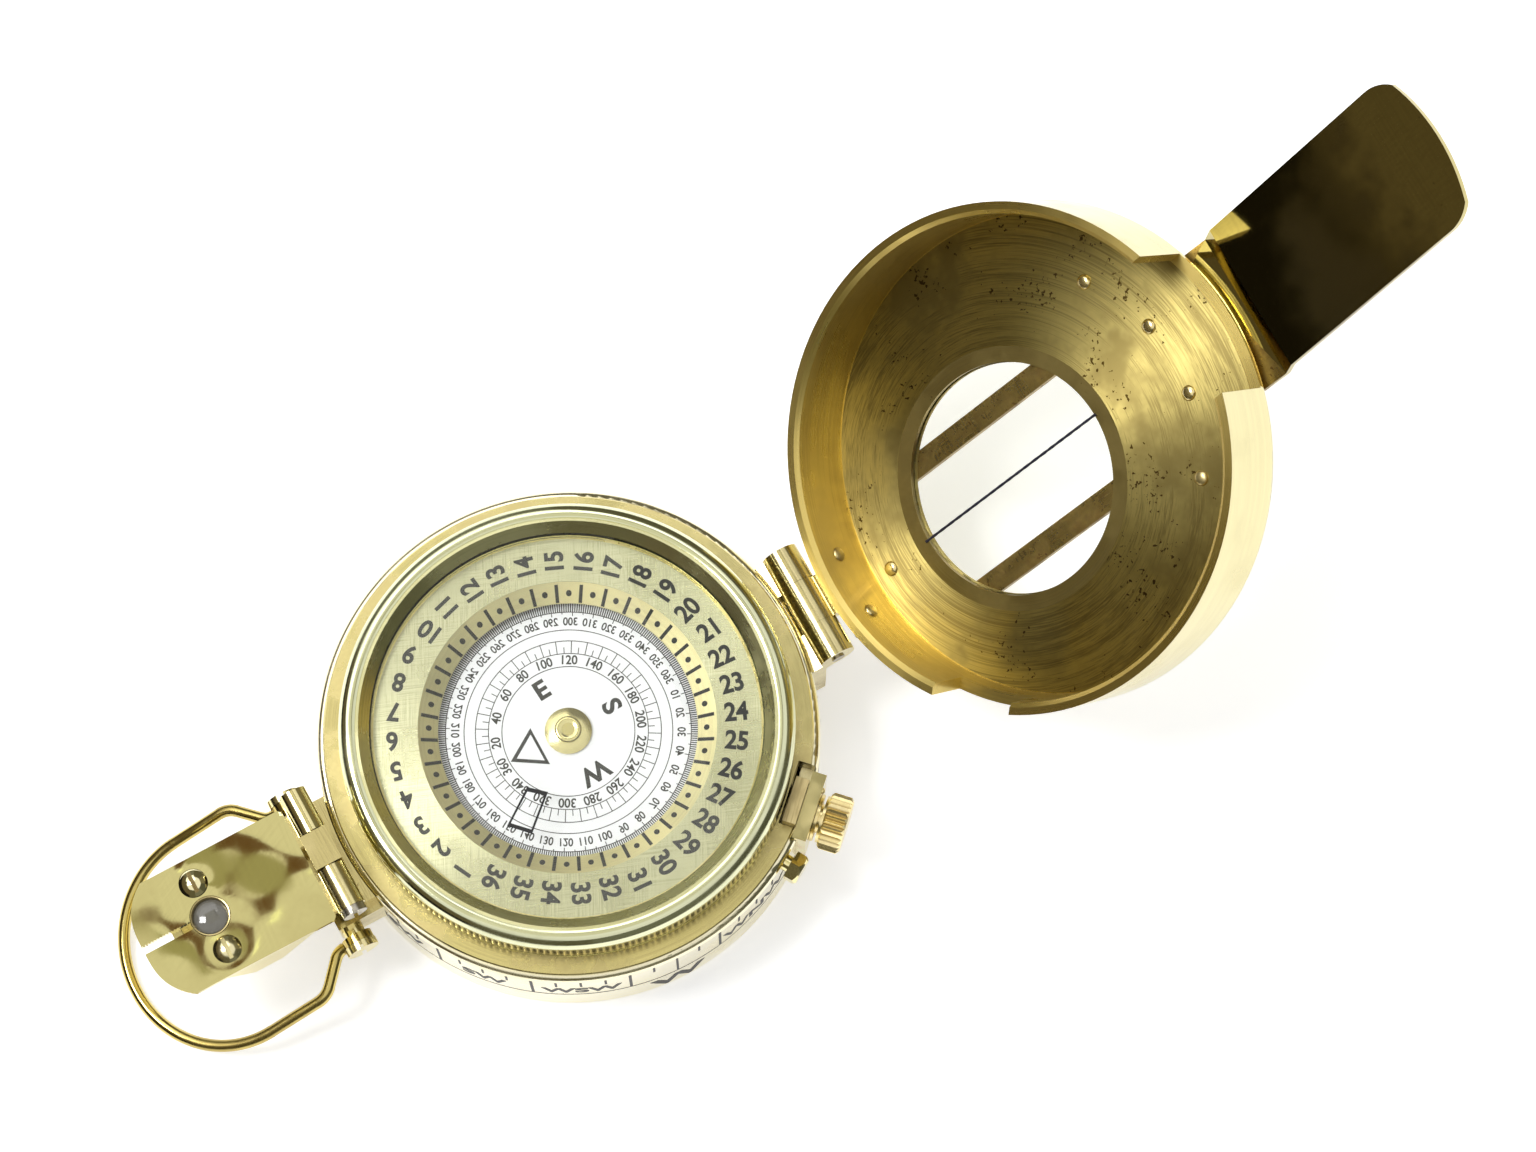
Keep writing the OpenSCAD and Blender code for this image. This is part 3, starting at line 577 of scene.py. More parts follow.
LID_FLOOR_BRASS = Brass("lid_floor_brass", (0.66, 0.54, 0.19), (0.10, 0.06, 0.015), 0.36,
                        centre=WINDOW_CENTRE, axis=LID_AXIS, lines=6500.0, breaks=420.0,
                        grain_depth=0.000006, grain_tone=0.6, sheen_turn=0.93, cloud=0.55, specks=1.0,
                        specks_per_metre=1700.0, film=0.06)
LID_WALL_BRASS = Brass("lid_wall_brass", (0.80, 0.62, 0.20), (0.30, 0.20, 0.045), 0.26, centre=LID_CENTRE,
                       axis=LID_AXIS, lines=5500.0, grain_depth=0.000004, grain_tone=0.3, sheen_turn=0.8,
                       film=0.05)
LID_OUTSIDE_BRASS = Brass("lid_outside_brass", (0.74, 0.67, 0.37), (0.44, 0.33, 0.15), 0.15,
                          centre=LID_CENTRE, axis=LID_AXIS, lines=7000.0, grain_tone=0.12, sheen_turn=0.3,
                          cloud=0.12, specks=0.12, wave=0.00001)
WINDOW_BRASS = Brass("window_brass", (0.40, 0.31, 0.11), (0.10, 0.07, 0.02), 0.3, centre=WINDOW_CENTRE,
                     axis=LID_AXIS, lines=4500.0, grain_tone=0.4, cloud=0.6, specks=0.6)
# the tongue plate's sides and undersides on the lid: the dark brass colour is painted shade, with real
# tarnish clouds and specks over it
SHADED_ARM_BRASS = Brass("shaded_arm_brass", (0.38, 0.27, 0.08), (0.12, 0.065, 0.016), 0.24, Grain.CROSSED, axis=LID_ALONG,
                  cross=ACROSS, grain_tone=0.4, cloud=0.8, clouds_per_metre=260.0, specks=0.9, wave=0.00003,
                  waves_per_metre=260.0, flat=True)
TONGUE_BRASS = Brass("tongue_brass", (0.52, 0.44, 0.17), (0.13, 0.08, 0.03), 0.05, Grain.CROSSED,
                     axis=LID_ALONG, cross=ACROSS, lines=2500.0, grain_depth=0.0000006, grain_tone=0.12,
                     cloud=0.6, clouds_per_metre=60.0, specks=0.35, specks_per_metre=900.0, film=0.05,
                     wave=0.00003, waves_per_metre=60.0, flat=True)
HOOD_BRASS = Brass("hood_brass", (0.76, 0.70, 0.36), (0.36, 0.26, 0.09), 0.045, Grain.CROSSED,
                   axis=(0.9, 0.43, 0.0), cross=(0.1, 0.99, 0.0), lines=3000.0, grain_depth=0.0000004,
                   grain_tone=0.08, specks=0.1, film=0.04)
PLAIN_BRASS = Brass("plain_brass", (0.84, 0.74, 0.38), (0.30, 0.21, 0.07), 0.13, Grain.NONE, cloud=0.35,
                    wave=0.00002, waves_per_metre=300.0)
HINGE_BRASS = Brass("hinge_brass", (0.76, 0.66, 0.34), (0.16, 0.10, 0.03), 0.13, Grain.STRAIGHT, axis=ACROSS,
                    cloud=0.45, specks=0.4)
KNOB_BRASS = Brass("knob_brass", (0.95, 0.80, 0.42), (0.30, 0.19, 0.05), 0.22,
                   centre=tuple(polar(32.0, CLAMP_AT, 11.4)), axis=CLAMP_AXIS, grain_tone=0.15, cloud=0.15,
                   specks=0.2)
# the knob's flutes, with painted shade at their bottoms
FLUTE_BRASS = replace(KNOB_BRASS, name="flute_brass", old=(0.26, 0.16, 0.04), lines=2000.0,
                      shade_radius=(3.10 * MM, 3.36 * MM))
HUB_BRASS = Brass("hub_brass", (0.82, 0.72, 0.36), (0.40, 0.30, 0.11), 0.16, lines=6000.0, sheen_turn=0.4,
                  specks=0.2)
SHOE_BRASS = Brass("shoe_brass", (0.60, 0.50, 0.26), (0.20, 0.14, 0.05), 0.38, Grain.STRAIGHT,
                   axis=(0.69, 0.72, 0.0), lines=4000.0, grain_tone=0.5, cloud=0.5, specks=0.6)
BAIL_BRASS = Brass("bail_brass", (0.60, 0.48, 0.16), (0.20, 0.13, 0.03), 0.11, Grain.NONE, cloud=0.4,
                   specks=0.25, wave=0.00001, waves_per_metre=500.0)
RIVET_BRASS = Brass("rivet_brass", (0.80, 0.66, 0.32), (0.22, 0.14, 0.05), 0.2, Grain.NONE, cloud=0.3,
                    specks=0.5, wave=0.00001, waves_per_metre=900.0)
SCREW_BRASS = Brass("screw_brass", (0.88, 0.80, 0.48), (0.34, 0.24, 0.08), 0.08, Grain.NONE, cloud=0.2,
                    specks=0.15)
RING_BRASS = Brass("ring_brass", (0.45, 0.37, 0.18), (0.10, 0.07, 0.03), 0.2, Grain.NONE, cloud=0.6,
                   specks=0.4)
BASE_BRASS = Brass("base_brass", (0.82, 0.72, 0.40), (0.34, 0.24, 0.10), 0.2, lines=4000.0,
                   grain_depth=0.000003, grain_tone=0.4, sheen_turn=0.5, cloud=0.3, specks=0.4)
FACE_GLASS = Glass("face_glass")
LID_PANE = Glass("lid_pane", (0.97, 0.98, 0.96), mirror=0.3)
PRISM_CROWN = Glass("prism_crown", (0.93, 0.97, 0.96), 1.52, 0.5)
# the lens's grey-brown tint and half clearness are painted shade of the dark prism box seen through it
SHADED_LENS_GLASS = Glass("shaded_lens_crown", (0.22, 0.21, 0.18), 1.52, 0.6, clear=0.5)
INK = Coat("black_ink", (0.006, 0.006, 0.007), (0.012, 0.011, 0.010), 0.6)
WALL_INK = Coat("engraving_black", (0.014, 0.012, 0.010), (0.04, 0.03, 0.015), 0.5)
HAIR = Coat("hair_black", (0.008, 0.008, 0.026), (0.016, 0.016, 0.034), 0.45)
CARD_PAINT = Coat("card_paint", (0.90, 0.90, 0.91), (0.86, 0.86, 0.87), 0.4, clouds=120.0)
STEEL = Coat("pin_steel", (0.55, 0.52, 0.46), (0.35, 0.31, 0.24), 0.25, metallic=1.0)
MAGNET = Coat("magnet_steel_grey", (0.25, 0.25, 0.27), (0.16, 0.15, 0.16), 0.4, metallic=1.0)
JEWEL = Coat("jewel_red", (0.50, 0.05, 0.09), (0.35, 0.03, 0.06), 0.12)


# ---------------------------------------------------------------- flat drawings and meshes

def net(lines: int, across: int, ring: bool = False) -> list[Face]:
    """Faces between neighbouring lines of points, where each line closes on itself.

    Args:
        lines: how many lines there are.
        across: how many points each has.
        ring: whether the last line joins the first. The faces of a ring are turned over.

    Returns:
        The faces, for points that are numbered line by line.
    """
    faces = []
    for k in range(lines if ring else lines - 1):
        here, there = k * across, (k + 1) % lines * across
        for i in range(across):
            j = (i + 1) % across
            faces.append((here + i, there + i, there + j, here + j) if ring
                         else (here + i, here + j, there + j, there + i))
    return faces


def revolve(outline: Sequence[Pair], columns: int,
            shift: Vector = Vector((0.0, 0.0, 0.0))) -> tuple[list[Vector], list[Face]]:
    """Turns a closed outline, of radius and height in mm, into a ring of points and faces."""
    points = [polar(r, 360.0 * c / columns, z) + shift for c in range(columns) for r, z in outline]
    return points, net(columns, len(outline), ring=True)


@dataclass
class Sheet:
    """A flat drawing, in mm: points across and up, and the faces between them."""

    points: list[Pair]
    faces: list[Face]

    @staticmethod
    def bar(left: float, right: float, low: float, high: float, parts: int = 1) -> "Sheet":
        """A rectangle, cut into parts across."""
        points = [(left + (right - left) * i / parts, v) for i in range(parts + 1) for v in (low, high)]
        return Sheet(points, [(2 * i, 2 * i + 2, 2 * i + 3, 2 * i + 1) for i in range(parts)])

    @staticmethod
    def dot(radius: float, sides: int = 20) -> "Sheet":
        """A small disc."""
        turns = [math.tau / sides * i for i in range(sides)]
        return Sheet([(radius * math.cos(a), radius * math.sin(a)) for a in turns], [tuple(range(sides))])

    @staticmethod
    def outlined(outer: Sequence[Pair], inner: Sequence[Pair]) -> "Sheet":
        """The stroke between two outlines that have as many corners."""
        return Sheet([*outer, *inner], net(2, len(outer)))

    def mapped(self, place: Callable[[float, float], Pair]) -> "Sheet":
        """The same drawing with each point moved."""
        return Sheet([place(u, v) for u, v in self.points], self.faces)

    def moved(self, across: float, up: float) -> "Sheet":
        """The same drawing, shifted."""
        return self.mapped(lambda u, v: (u + across, v + up))

    def mirrored(self) -> "Sheet":
        """The same drawing in a mirror, with its faces still the right way round."""
        return Sheet([(-u, v) for u, v in self.points], [tuple(reversed(f)) for f in self.faces])

    def width(self) -> float:
        """How wide it is."""
        return max(u for u, _ in self.points) - min(u for u, _ in self.points)

    def sliced(self, step: float, across: bool = False) -> "Sheet":
        """Cuts the drawing into narrow strips, so that it can follow a curved surface.

        Args:
            step: width of a strip, in mm.
            across: whether it is cut into squares rather than strips.

        Returns:
            The same drawing with more points.
        """
        work = bmesh.new()
        corners = [work.verts.new((u, v, 0.0)) for u, v in self.points]
        for face in self.faces:
            work.faces.new([corners[i] for i in face])
        work.normal_update()
        bmesh.ops.triangulate(work, faces=work.faces[:])
        for axis in range(2 if across else 1):
            low, high = (f(p[axis] for p in self.points) for f in (min, max))
            way = (1 - axis, axis, 0)
            for i in range(1, int((high - low) / step) + 1):
                bmesh.ops.bisect_plane(work, geom=work.verts[:] + work.edges[:] + work.faces[:],
                                       plane_co=[c * (low + i * step) for c in way], plane_no=way)
        work.verts.index_update()
        faces = [tuple(v.index for v in f.verts) for f in work.faces]
        made = Sheet([(v.co.x, v.co.y) for v in work.verts], faces)
        work.free()
        return made


class Lettering:
    """Draws words as flat faces, from Blender's own font."""

    def __init__(self, weight: float) -> None:
        """Sets how much the strokes are thickened, as a share of the letter size."""
        self.weight = weight
        self.cap = self.draw("H", 1.0)[1]

    def draw(self, word: str, size: float) -> tuple[Sheet, float]:
        """Draws a word, centred across and standing on its foot.

        Args:
            word: what to write.
            size: the font's size.

        Returns:
            The drawing and its height.
        """
        curve = bpy.data.curves.new("word", "FONT")
        curve.body = word
        curve.size = size
        curve.offset = self.weight * size
        curve.fill_mode = "FRONT"
        holder = enter("word", curve)
        mesh = bpy.data.meshes.new_from_object(holder.evaluated_get(bpy.context.evaluated_depsgraph_get()))
        points = [(v.co.x, v.co.y) for v in mesh.vertices]
        faces = [tuple(p.vertices) for p in mesh.polygons]
        bpy.data.objects.remove(holder)
        bpy.data.curves.remove(curve)
        bpy.data.meshes.remove(mesh)
        low, high = (f(v for _, v in points) for f in (min, max))
        middle = (min(u for u, _ in points) + max(u for u, _ in points)) / 2
        return Sheet([(u - middle, v - low) for u, v in points], faces), high - low

    def word(self, word: str, height: float, squeeze: float = 1.0) -> Sheet:
        """A word round its own middle, with capitals of a height in mm and its width squeezed."""
        sheet, tall = self.draw(word, height / self.cap)
        return sheet.mapped(lambda u, v: (u * squeeze, v - tall / 2))


@dataclass
class Print:
    """Marks gathered into one mesh that lies on a surface of the object."""

    points: list[Vector] = field(default_factory=list)
    faces: list[Face] = field(default_factory=list)

    def add(self, sheet: Sheet, place: Place) -> None:
        """Lays a drawing on the surface.

        Args:
            sheet: the drawing, in mm.
            place: gives the point in metres for a place in the drawing.
        """
        start = len(self.points)
        self.points += [place(u, v) for u, v in sheet.points]
        self.faces += [tuple(start + i for i in f) for f in sheet.faces]


@dataclass
class Dome:
    """A small rounded head with a worn flat on top."""

    radius: float
    height: float
    sides: int = 28
    rows: int = 7
    fullness: float = 0.8

    def mesh(self, at: Vector, up: Vector) -> tuple[list[Vector], list[Face]]:
        """Shapes one head.

        Args:
            at: middle of its foot, in metres.
            up: the way it points.

        Returns:
            Its points and its faces.
        """
        up = up.normalized()
        side = up.orthogonal().normalized()
        other = up.cross(side)
        n = self.sides
        points = []
        for k in range(self.rows):
            lean = math.pi / 2 * k / self.rows
            r = self.radius * math.cos(lean) ** self.fullness
            h = self.height * math.sin(lean)
            for i in range(n):
                a = math.tau * i / n
                points.append(at + (side * math.cos(a) + other * math.sin(a)) * r * MM + up * h * MM)
        points.append(at + up * self.height * MM)
        faces = net(self.rows, n)
        last = (self.rows - 1) * n
        faces += [(last + i, last + (i + 1) % n, len(points) - 1) for i in range(n)]
        faces.append(tuple(reversed(range(n))))
        return points, faces


# ---------------------------------------------------------------- sub-assemblies

@dataclass
class Assembly:
    """A sub-assembly, which dresses nodes of the CAD and adds pieces that ride on one body."""

    effects: Effects
    body: ClassVar[Body] = Body.CASE
    crease: ClassVar[float] = math.radians(32)

    def dress(self, **nodes: Finish) -> None:
        """Gives nodes one finish each."""
        for node, finish in nodes.items():
            self.paint(node, (finish,), lambda middle, normal: 0)

    def paint(self, node: str, finishes: Sequence[Finish], pick: Callable[[Vector, Vector], int]) -> None:
        """Gives a node its finishes, face by face.

        Args:
            node: the node's name.
            finishes: the finishes it gets.
            pick: chooses a finish's number from a face's middle and normal.
        """
        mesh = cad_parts[node].data
        mesh.materials.clear()
        for finish in finishes:
            mesh.materials.append(finish.material(self.effects))
        for polygon in mesh.polygons:
            polygon.material_index = pick(polygon.center, polygon.normal)

    def piece(self, name: str, points: Sequence[Vector], faces: Sequence[Face], *finishes: Finish,
              slot: Slot = Slot.POLISHED, smooth: bool = True) -> bpy.types.Object:
        """Makes a mesh piece that rides on the sub-assembly's body.

        Args:
            name: the piece's name.
            points: its points in metres, in the object's frame at rest.
            faces: the point numbers of each face.
            finishes: its finishes.
            slot: not used.
            smooth: whether faces shade smoothly up to sharp corners.

        Returns:
            The piece.
        """
        mesh = bpy.data.meshes.new(name)
        mesh.from_pydata([tuple(p) for p in points], [], faces)
        for finish in finishes:
            mesh.materials.append(finish.material(self.effects))
        mesh.validate()
        if smooth:
            mesh.shade_smooth()
            mesh.set_sharp_from_angle(angle=self.crease)
        made = enter(name, mesh)
        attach(made, self.body.value)
        LOG.info("made %s", name)
        return made

    def ink(self, name: str, marks: Print, finish: Coat) -> None:
        """Makes a piece of printed marks."""
        self.piece(name, marks.points, marks.faces, finish, slot=Slot.INK, smooth=False)


@dataclass
class Case(Assembly):
    """The case with its deck, its engraved wall, and the clamp and brake on its side."""

    letters: Lettering
    radius: float = 30.0
    lip_z: float = 14.55
    turn: float = -3.0
    winds: str = "S SSE SE ESE E ENE NE NNE N NNW NW WNW W WSW SW SSW"
    line_low: float = 6.8
    line_half: float = 0.14
    line_parts: int = 180
    tick_low: float = 11.9
    tick_width: float = 0.36
    small_tick: float = 0.8
    name_z: float = 9.5
    name_height: float = 2.9
    name_squeeze: float = 0.95
    cardinal_z: float = 3.1
    cardinal_height: float = 4.2
    cardinal_squeeze: float = 1.15
    knob_in: float = 32.0
    pins: tuple[Pair, ...] = ((23.4, -18.9), (23.0, -20.6))
    pin_z: float = 15.2
    pin_head: Pair = (0.42, 0.22)

    def build(self) -> None:
        """Dresses the case's nodes and adds its engraving and two pin heads beside the clamp."""
        self.dress(case_shell=WALL_BRASS, deck_ring=DECK_BRASS, base_plate=BASE_BRASS, pivot_post=STEEL,
                   clamp_bracket=PLAIN_BRASS, clamp_shoe=SHOE_BRASS, brake_plunger=PLAIN_BRASS,
                   case_hinge=HINGE_BRASS, hinge_pin=STEEL)
        self.paint("clamp_knob", (KNOB_BRASS, FLUTE_BRASS), self.pick_knob)
        self.engrave()
        head = Dome(*self.pin_head)
        for i, (x, y) in enumerate(self.pins):
            self.piece(f"deck_pin_{i + 1}", *head.mesh(Vector((x, y, self.pin_z)) * MM, UP), RIVET_BRASS)

    def pick_knob(self, middle: Vector, normal: Vector) -> int:
        """Fluted finish, with painted shade in the flutes, on the head of the nut, plain on its collar and on
        its end.
        """
        out = Vector(CLAMP_AXIS)
        return 1 if middle.dot(out) > self.knob_in * MM and abs(normal.dot(out)) < FACING else 0

    def wall(self, degrees: float) -> Place:
        """Wraps a drawing round the wall, with its middle at a direction and its up along +Z."""
        return lambda u, v: polar(self.radius + PLY / MM, degrees + math.degrees(u / self.radius), v)

    def engrave(self) -> None:
        """Cuts the sixteen winds, their ticks and the line round the wall."""
        marks = Print()
        names = self.winds.split()
        wind = 360.0 / len(names)
        half = self.tick_width / 2
        small = half * self.small_tick
        for i, name in enumerate(names):
            at = 180.0 + self.turn - wind * i
            marks.add(Sheet.bar(-half, half, self.line_low, self.lip_z), self.wall(at + wind / 2))
            cardinal = len(name) == 1
            for step in (-wind / 4, 0.0, wind / 4):
                low = self.line_low if cardinal and step == 0.0 else self.tick_low
                marks.add(Sheet.bar(-small, small, low, self.lip_z), self.wall(at + step))
            height, squeeze, z = (
                (self.cardinal_height, self.cardinal_squeeze, self.cardinal_z) if cardinal
                else (self.name_height, self.name_squeeze, self.name_z))
            marks.add(self.letters.word(name, height, squeeze).sliced(1.0).moved(0.0, z), self.wall(at))
        low, high = self.line_low - self.line_half, self.line_low + self.line_half
        marks.add(Sheet.bar(0.0, math.tau * self.radius, low, high, self.line_parts), self.wall(0.0))
        self.ink("wall_engraving", marks, WALL_INK)


@dataclass
class Dial(Assembly):
    """The numbered ring and the sloping ring inside it. Ahead is the number that stands towards +X."""

    letters: Lettering
    face_z: float = 18.5
    turn: float = -3.5
    ahead: int = 22
    end_r: float = 21.45
    height: float = 2.3
    squeeze: float = 0.92
    slope_r: Pair = (15.4, 17.7)
    slope_z: Pair = (17.1, 18.4)
    tick_r: Pair = (15.45, 17.4)
    tick_width: float = 0.42
    dot_r: float = 16.45
    dot_size: float = 0.34

    def build(self) -> None:
        """Dresses the rings and prints them."""
        self.dress(number_ring=DIAL_BRASS, scale_ring=SLOPE_BRASS)
        self.print_numbers()
        self.print_scale()

    def print_numbers(self) -> None:
        """Prints 1 to 36 round the ring, each reading outwards."""
        marks = Print()
        for number in range(1, 37):
            sheet = self.letters.word(str(number), self.height, self.squeeze)
            sheet = sheet.moved(self.end_r - sheet.width() / 2, 0.0)
            a = math.radians((self.ahead - number) * 10 + self.turn)
            out = Vector((math.cos(a), math.sin(a), 0.0))
            side = Vector((-math.sin(a), math.cos(a), 0.0))
            marks.add(sheet, lambda u, v: (out * u + side * v + UP * self.face_z) * MM + UP * PLY)
        self.ink("dial_numerals", marks, INK)

    def on_slope(self, degrees: float) -> Place:
        """Lays a drawing on the slope, with its across along the radius."""
        (low_r, high_r), (low_z, high_z) = self.slope_r, self.slope_z
        rise = (high_z - low_z) / (high_r - low_r)
        return lambda u, v: polar(u, degrees + math.degrees(v / u), low_z + (u - low_r) * rise) + UP * PLY

    def print_scale(self) -> None:
        """Prints a tick at each number and a dot between."""
        marks = Print()
        half = self.tick_width / 2
        for i in range(36):
            at = 10.0 * i + self.turn
            marks.add(Sheet.bar(*self.tick_r, -half, half), self.on_slope(at))
            marks.add(Sheet.dot(self.dot_size).moved(self.dot_r, 0.0), self.on_slope(at + 5.0))
        self.ink("slope_marks", marks, INK)


@dataclass
class Card(Assembly):
    """The floating card with its print and hub.

    Letter sizes are a height in mm and a squeeze. Five lows are where the ticks of every tenth and of every
    other fifth degree begin. The collar's and the pivot's sections are radii and heights over the hub.
    """

    letters: Lettering
    small: Lettering
    body: ClassVar[Body] = Body.CARD
    face_z: float = 15.8
    turn: float = 1.0
    circles: tuple[float, ...] = (7.9, 9.5, 11.05, 12.4, 14.6, 15.8)
    circle_parts: int = 144
    inner_band: Pair = (9.5, 11.05)
    five_lows: Pair = (14.1, 14.35)
    degree_band: Pair = (14.6, 15.8)
    inner_numbers: float = 8.72
    inner_size: Pair = (1.12, 0.92)
    outer_numbers: float = 13.45
    outer_size: Pair = (0.98, 0.88)
    winds: tuple[tuple[str, float], ...] = (("E", 94.0), ("S", 2.0), ("W", -86.0))
    winds_r: float = 6.0
    wind_size: Pair = (2.35, 1.05)
    north_outer: tuple[Pair, ...] = ((-7.75, 0.0), (-3.8, -2.5), (-3.8, 2.5))
    north_inner: tuple[Pair, ...] = ((-6.95, 0.0), (-4.13, -1.8), (-4.13, 1.8))
    line: float = 0.05
    degree: float = 0.066
    hub_z: float = 16.92
    collar: tuple[Pair, ...] = ((0.55, -0.02), (0.78, 0.02), (1.0, 0.13), (1.25, 0.17), (1.45, 0.13),
                                (1.58, 0.03), (1.6, -0.1), (0.55, -0.1))
    collar_sides: int = 48
    pivot: tuple[Pair, ...] = ((0.0, -0.05), (0.3, 0.02), (0.56, 0.03), (0.62, -0.1), (0.0, -0.1))
    pivot_sides: int = 32

    def build(self) -> None:
        """Dresses the card's nodes, prints its face, and rounds the disc on its hub with its dark centre."""
        self.dress(card_disc=CARD_PAINT, card_hub=HUB_BRASS, card_magnets=MAGNET, card_jewel=JEWEL)
        self.print_face()
        collar, pivot = ([(r, self.hub_z + z) for r, z in shape] for shape in (self.collar, self.pivot))
        self.piece("hub_collar", *revolve(collar, self.collar_sides), HUB_BRASS)
        self.piece("hub_pivot", *revolve(pivot, self.pivot_sides), STEEL, slot=Slot.STEEL)

    def at(self, degrees: float) -> Place:
        """Bends a drawing round the card: across along the circle, up along the radius."""
        return lambda u, v: polar(v, degrees - math.degrees(u / v), self.face_z) + UP * PLY

    def ring(self, radius: float) -> Place:
        """Closes a straight strip into a circle."""
        return lambda u, v: polar(v, math.degrees(u / radius), self.face_z) + UP * PLY

    def stand(self, degrees: float, radius: float) -> Place:
        """Stands a drawing on the card without bending it.

        Args:
            degrees: the direction that its top points to.
            radius: how far its middle is from the card's.

        Returns:
            The place on the card for a place in the drawing.
        """
        a = math.radians(degrees)
        out = Vector((math.cos(a), math.sin(a), 0.0))
        side = Vector((math.sin(a), -math.cos(a), 0.0))
        return lambda u, v: (side * u + out * (radius + v) + UP * self.face_z) * MM + UP * PLY

    def print_face(self) -> None:
        """Prints circles, ticks, both rows of numbers, the letters and the north mark."""
        marks = Print()
        for radius in self.circles:
            line = Sheet.bar(0.0, math.tau * radius, -self.line, self.line, self.circle_parts)
            marks.add(line.moved(0.0, radius), self.ring(radius))
        low, high = self.inner_band
        for i in range(72):
            end = low + (high - low) * (1.0 if i % 2 == 0 else 0.5)
            for band in ((low, end), (self.five_lows[i % 2], self.degree_band[0])):
                marks.add(Sheet.bar(-self.line, self.line, *band), self.at(5.0 * i))
        for i in range(360):
            marks.add(Sheet.bar(-self.degree, self.degree, *self.degree_band), self.at(float(i)))
        for value in range(10, 361, 10):
            if value % 20 == 0:
                sheet = self.small.word(str(value), *self.inner_size)
                marks.add(sheet, self.stand(180.0 + self.turn - value, self.inner_numbers))
            sheet = self.small.word(str(value), *self.outer_size).mirrored()
            marks.add(sheet, self.stand(self.turn - value, self.outer_numbers))
        for letter, degrees in self.winds:
            marks.add(self.letters.word(letter, *self.wind_size), self.stand(degrees, self.winds_r))
        north = Sheet.outlined(self.north_outer, self.north_inner)
        marks.add(north, lambda u, v: Vector((u, v, self.face_z)) * MM + UP * PLY)
        self.ink("card_print", marks, INK)


@dataclass
class Bezel(Assembly):
    """The turning bezel: a ring with its milled band and rolled rim, its glass and the bevel over it.

    The section runs from its foot over the milled band, the neck and the roll to the inside, as radii and
    heights. The roll is a circle's middle radius, middle height and radius, and the degrees it starts at and
    spans. Uneven is how much the teeth's depth varies, and how fast. Run out is the share of the depth at the
    band's ends, and what each row inwards adds.
    """

    body: ClassVar[Body] = Body.BEZEL
    teeth: int = 218
    cuts: tuple[float, ...] = (0.0, 0.62, 1.0, 0.62)
    tooth_depth: float = 0.3
    uneven: Pair = (0.12, 2.4)
    run_out: Pair = (0.25, 0.5)
    foot: tuple[Pair, ...] = ((24.05, 15.85), (26.75, 15.85), (26.95, 16.05), (26.72, 16.23))
    radius: float = 27.0
    band: Pair = (16.35, 19.55)
    band_steps: int = 8
    neck: Pair = (26.7, 19.65)
    roll: tuple[float, ...] = (25.45, 19.85, 1.55, -8.0, 117.0)
    roll_steps: int = 26
    inside: tuple[Pair, ...] = ((24.95, 19.2), (23.2, 19.2), (23.2, 18.65), (24.05, 18.65))
    index: tuple[Pair, ...] = ((-7.71, -4.48), (-5.83, -6.19), (-9.83, -9.73), (-11.95, -7.48))
    index_stroke: float = 0.546
    glass_top: float = 20.1

    def build(self) -> None:
        """Makes the ring, dresses glass and bevel, and draws the index."""
        self.dress(bezel_ring=RIM_BRASS, bezel_glass=FACE_GLASS, bezel_retainer=BEVEL_BRASS)
        self.make_ring()
        self.draw_index()

    def outline(self) -> tuple[list[Pair], range]:
        """Draws the section of the ring.

        Returns:
            Its points, and which of them are on the milled band.
        """
        low, high = self.band
        steps = range(self.band_steps + 1)
        section = list(self.foot) + [(self.radius, low + (high - low) * i / self.band_steps) for i in steps]
        band = range(len(self.foot), len(section))
        section.append(self.neck)
        middle, height, roll, start, span = self.roll
        for i in range(self.roll_steps + 1):
            a = math.radians(start + span * i / self.roll_steps)
            section.append((middle + roll * math.cos(a), height + roll * math.sin(a)))
        return section + list(self.inside), band

    def make_ring(self) -> None:
        """Turns the section, and cuts the teeth of the band."""
        section, band = self.outline()
        columns = self.teeth * len(self.cuts)
        share, phase = self.uneven
        end_share, per_row = self.run_out
        points = []
        for c in range(columns):
            tooth, step = divmod(c, len(self.cuts))
            cut = self.tooth_depth * self.cuts[step] * (1.0 + share * math.sin(tooth * phase))
            for i, (r, z) in enumerate(section):
                if i in band:
                    from_end = min(i - band.start, band.stop - 1 - i)
                    r -= cut * min(1.0, end_share + per_row * from_end)
                points.append(polar(r, 360.0 * c / columns, z))
        rows = len(section)
        made = self.piece("milled_bezel", points, net(columns, rows, ring=True), RIM_BRASS, MILLED_BRASS)
        # the milled band gets the finish with painted shade at the bottom of its teeth
        for number, polygon in enumerate(made.data.polygons):
            polygon.material_index = 1 if band.start - 2 <= number % rows <= band.stop else 0
        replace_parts(made, "bezel_ring")

    def draw_index(self) -> None:
        """Draws the outlined index on top of the glass."""
        corners = [Vector(p) for p in self.index]
        middle = sum(corners, Vector((0.0, 0.0))) / len(corners)
        inner = [middle + (p - middle) * (1 - self.index_stroke / (p - middle).length) for p in corners]
        marks = Print()
        marks.add(Sheet.outlined(self.index, [tuple(p) for p in inner]),
                  lambda u, v: Vector((u, v, self.glass_top)) * MM + UP * PLY)
        self.ink("index_mark", marks, INK)


